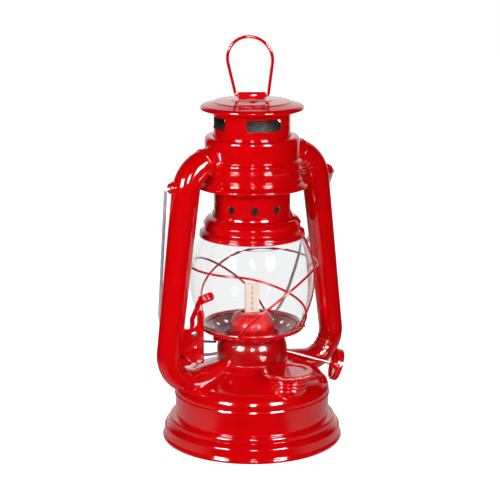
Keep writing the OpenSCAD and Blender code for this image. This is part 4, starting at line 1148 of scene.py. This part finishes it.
# %% Solder beads and tube rings
CHAMBER_R, UPPER_R, STEP_Z, STEP_HIGH = 31.4, 29.8, 181.4, 2.2
STUB_FROM, STUB_TO, STUB_STEPS = 26.0, 43.0, 14
CHAMBER_BEAD, DOME_BEAD, LUMPS = 0.8, 0.6, (0.75, 1.25)
CHAMBER_SEED, DOME_SEED = 11, 21
DOME_FROM, JOINT_STEPS, JOINT_GAP = 32.0, 36, 0.2
DOME_TURNS = [radians(half / 2) for half in range(-180, 61)]
RING_TURN = radians(72)


def lumpy(name, points, radius, seed):
    """A bead of solder along points in mm."""
    lumps = random.Random(seed)
    sizes = [lumps.uniform(*LUMPS) for _ in points]
    return wire(name, [Vector(p) * MM for p in points], radius, 3, sizes)


dome_outside = [p for p in pressed(dome_line) if p.y > DOME_FROM]


def dome_top(r):
    """Height of the dome's outside at a radius, in mm."""
    for before, after in zip(dome_outside, dome_outside[1:]):
        if after.x <= r <= before.x:
            return before.y + (after.y - before.y) * (before.x - r) / (before.x - after.x)
    return dome_outside[0].y


def chamber_joint(side):
    """The line where a tube's top end meets the chamber."""
    line = []
    for k in range(JOINT_STEPS + 1):
        turn = 2 * pi * k / JOINT_STEPS
        y, z = TOP_R * cos(turn), TOP_C.z + TOP_BEND + TOP_R * sin(turn)
        r = CHAMBER_R + (UPPER_R - CHAMBER_R) * max(0.0, min(1.0, (z - STEP_Z) / STEP_HIGH))
        line.append((side * sqrt(r * r - y * y), y, z))
    return line


def dome_joint(side, front):
    """The line where a tube's low end lies on the dome, on its front or its back."""
    line = []
    bend = LOW_C - LOW_BEND * Vector((sin(STUB_RISE), 0, cos(STUB_RISE)))
    for k in range(STUB_STEPS + 1):
        x = STUB_FROM + (STUB_TO - STUB_FROM) * k / STUB_STEPS
        axis_z = bend.z + (bend.x - x) * tan(STUB_RISE)
        tries = []
        for turn in DOME_TURNS:
            y, z = LOW_R * cos(turn), axis_z + LOW_R * sin(turn) / cos(STUB_RISE)
            tries.append((abs(z - dome_top(hypot(x, y))), turn, y, z))
        gap, _, y, z = min(tries)
        if gap < JOINT_GAP:
            line.append((side * x, front * y, z))
    return line


tube_ring_line = [(TOP_R - 0.3, -1.2), (TOP_R + 0.5, -0.6, 0.5), (TOP_R + 0.5, 0.6, 0.5), (TOP_R - 0.3, 1.2)]
for side, name in SIDES:
    bead = lumpy(f"chamber_solder_{name}", chamber_joint(side), CHAMBER_BEAD, CHAMBER_SEED + side)
    hand_over(bead, "frame")
    for front, end in ((-1, "front"), (1, "back")):
        bead = lumpy(f"dome_solder_{name}_{end}", dome_joint(side, front), DOME_BEAD, DOME_SEED + side + front)
        hand_over(bead, "frame")
    ring = spun(f"tube_ring_{name}", pressed(tube_ring_line, 0.4), steps=72)
    middle = TOP_C + TOP_BEND * Vector((cos(RING_TURN), 0, sin(RING_TURN)))
    lie = Matrix.Translation(middle * Vector((side, 1, 1)) * MM) @ Matrix.Rotation(-side * RING_TURN, 4, "Y")
    hand_over(moved_to(ring, lie), "frame")
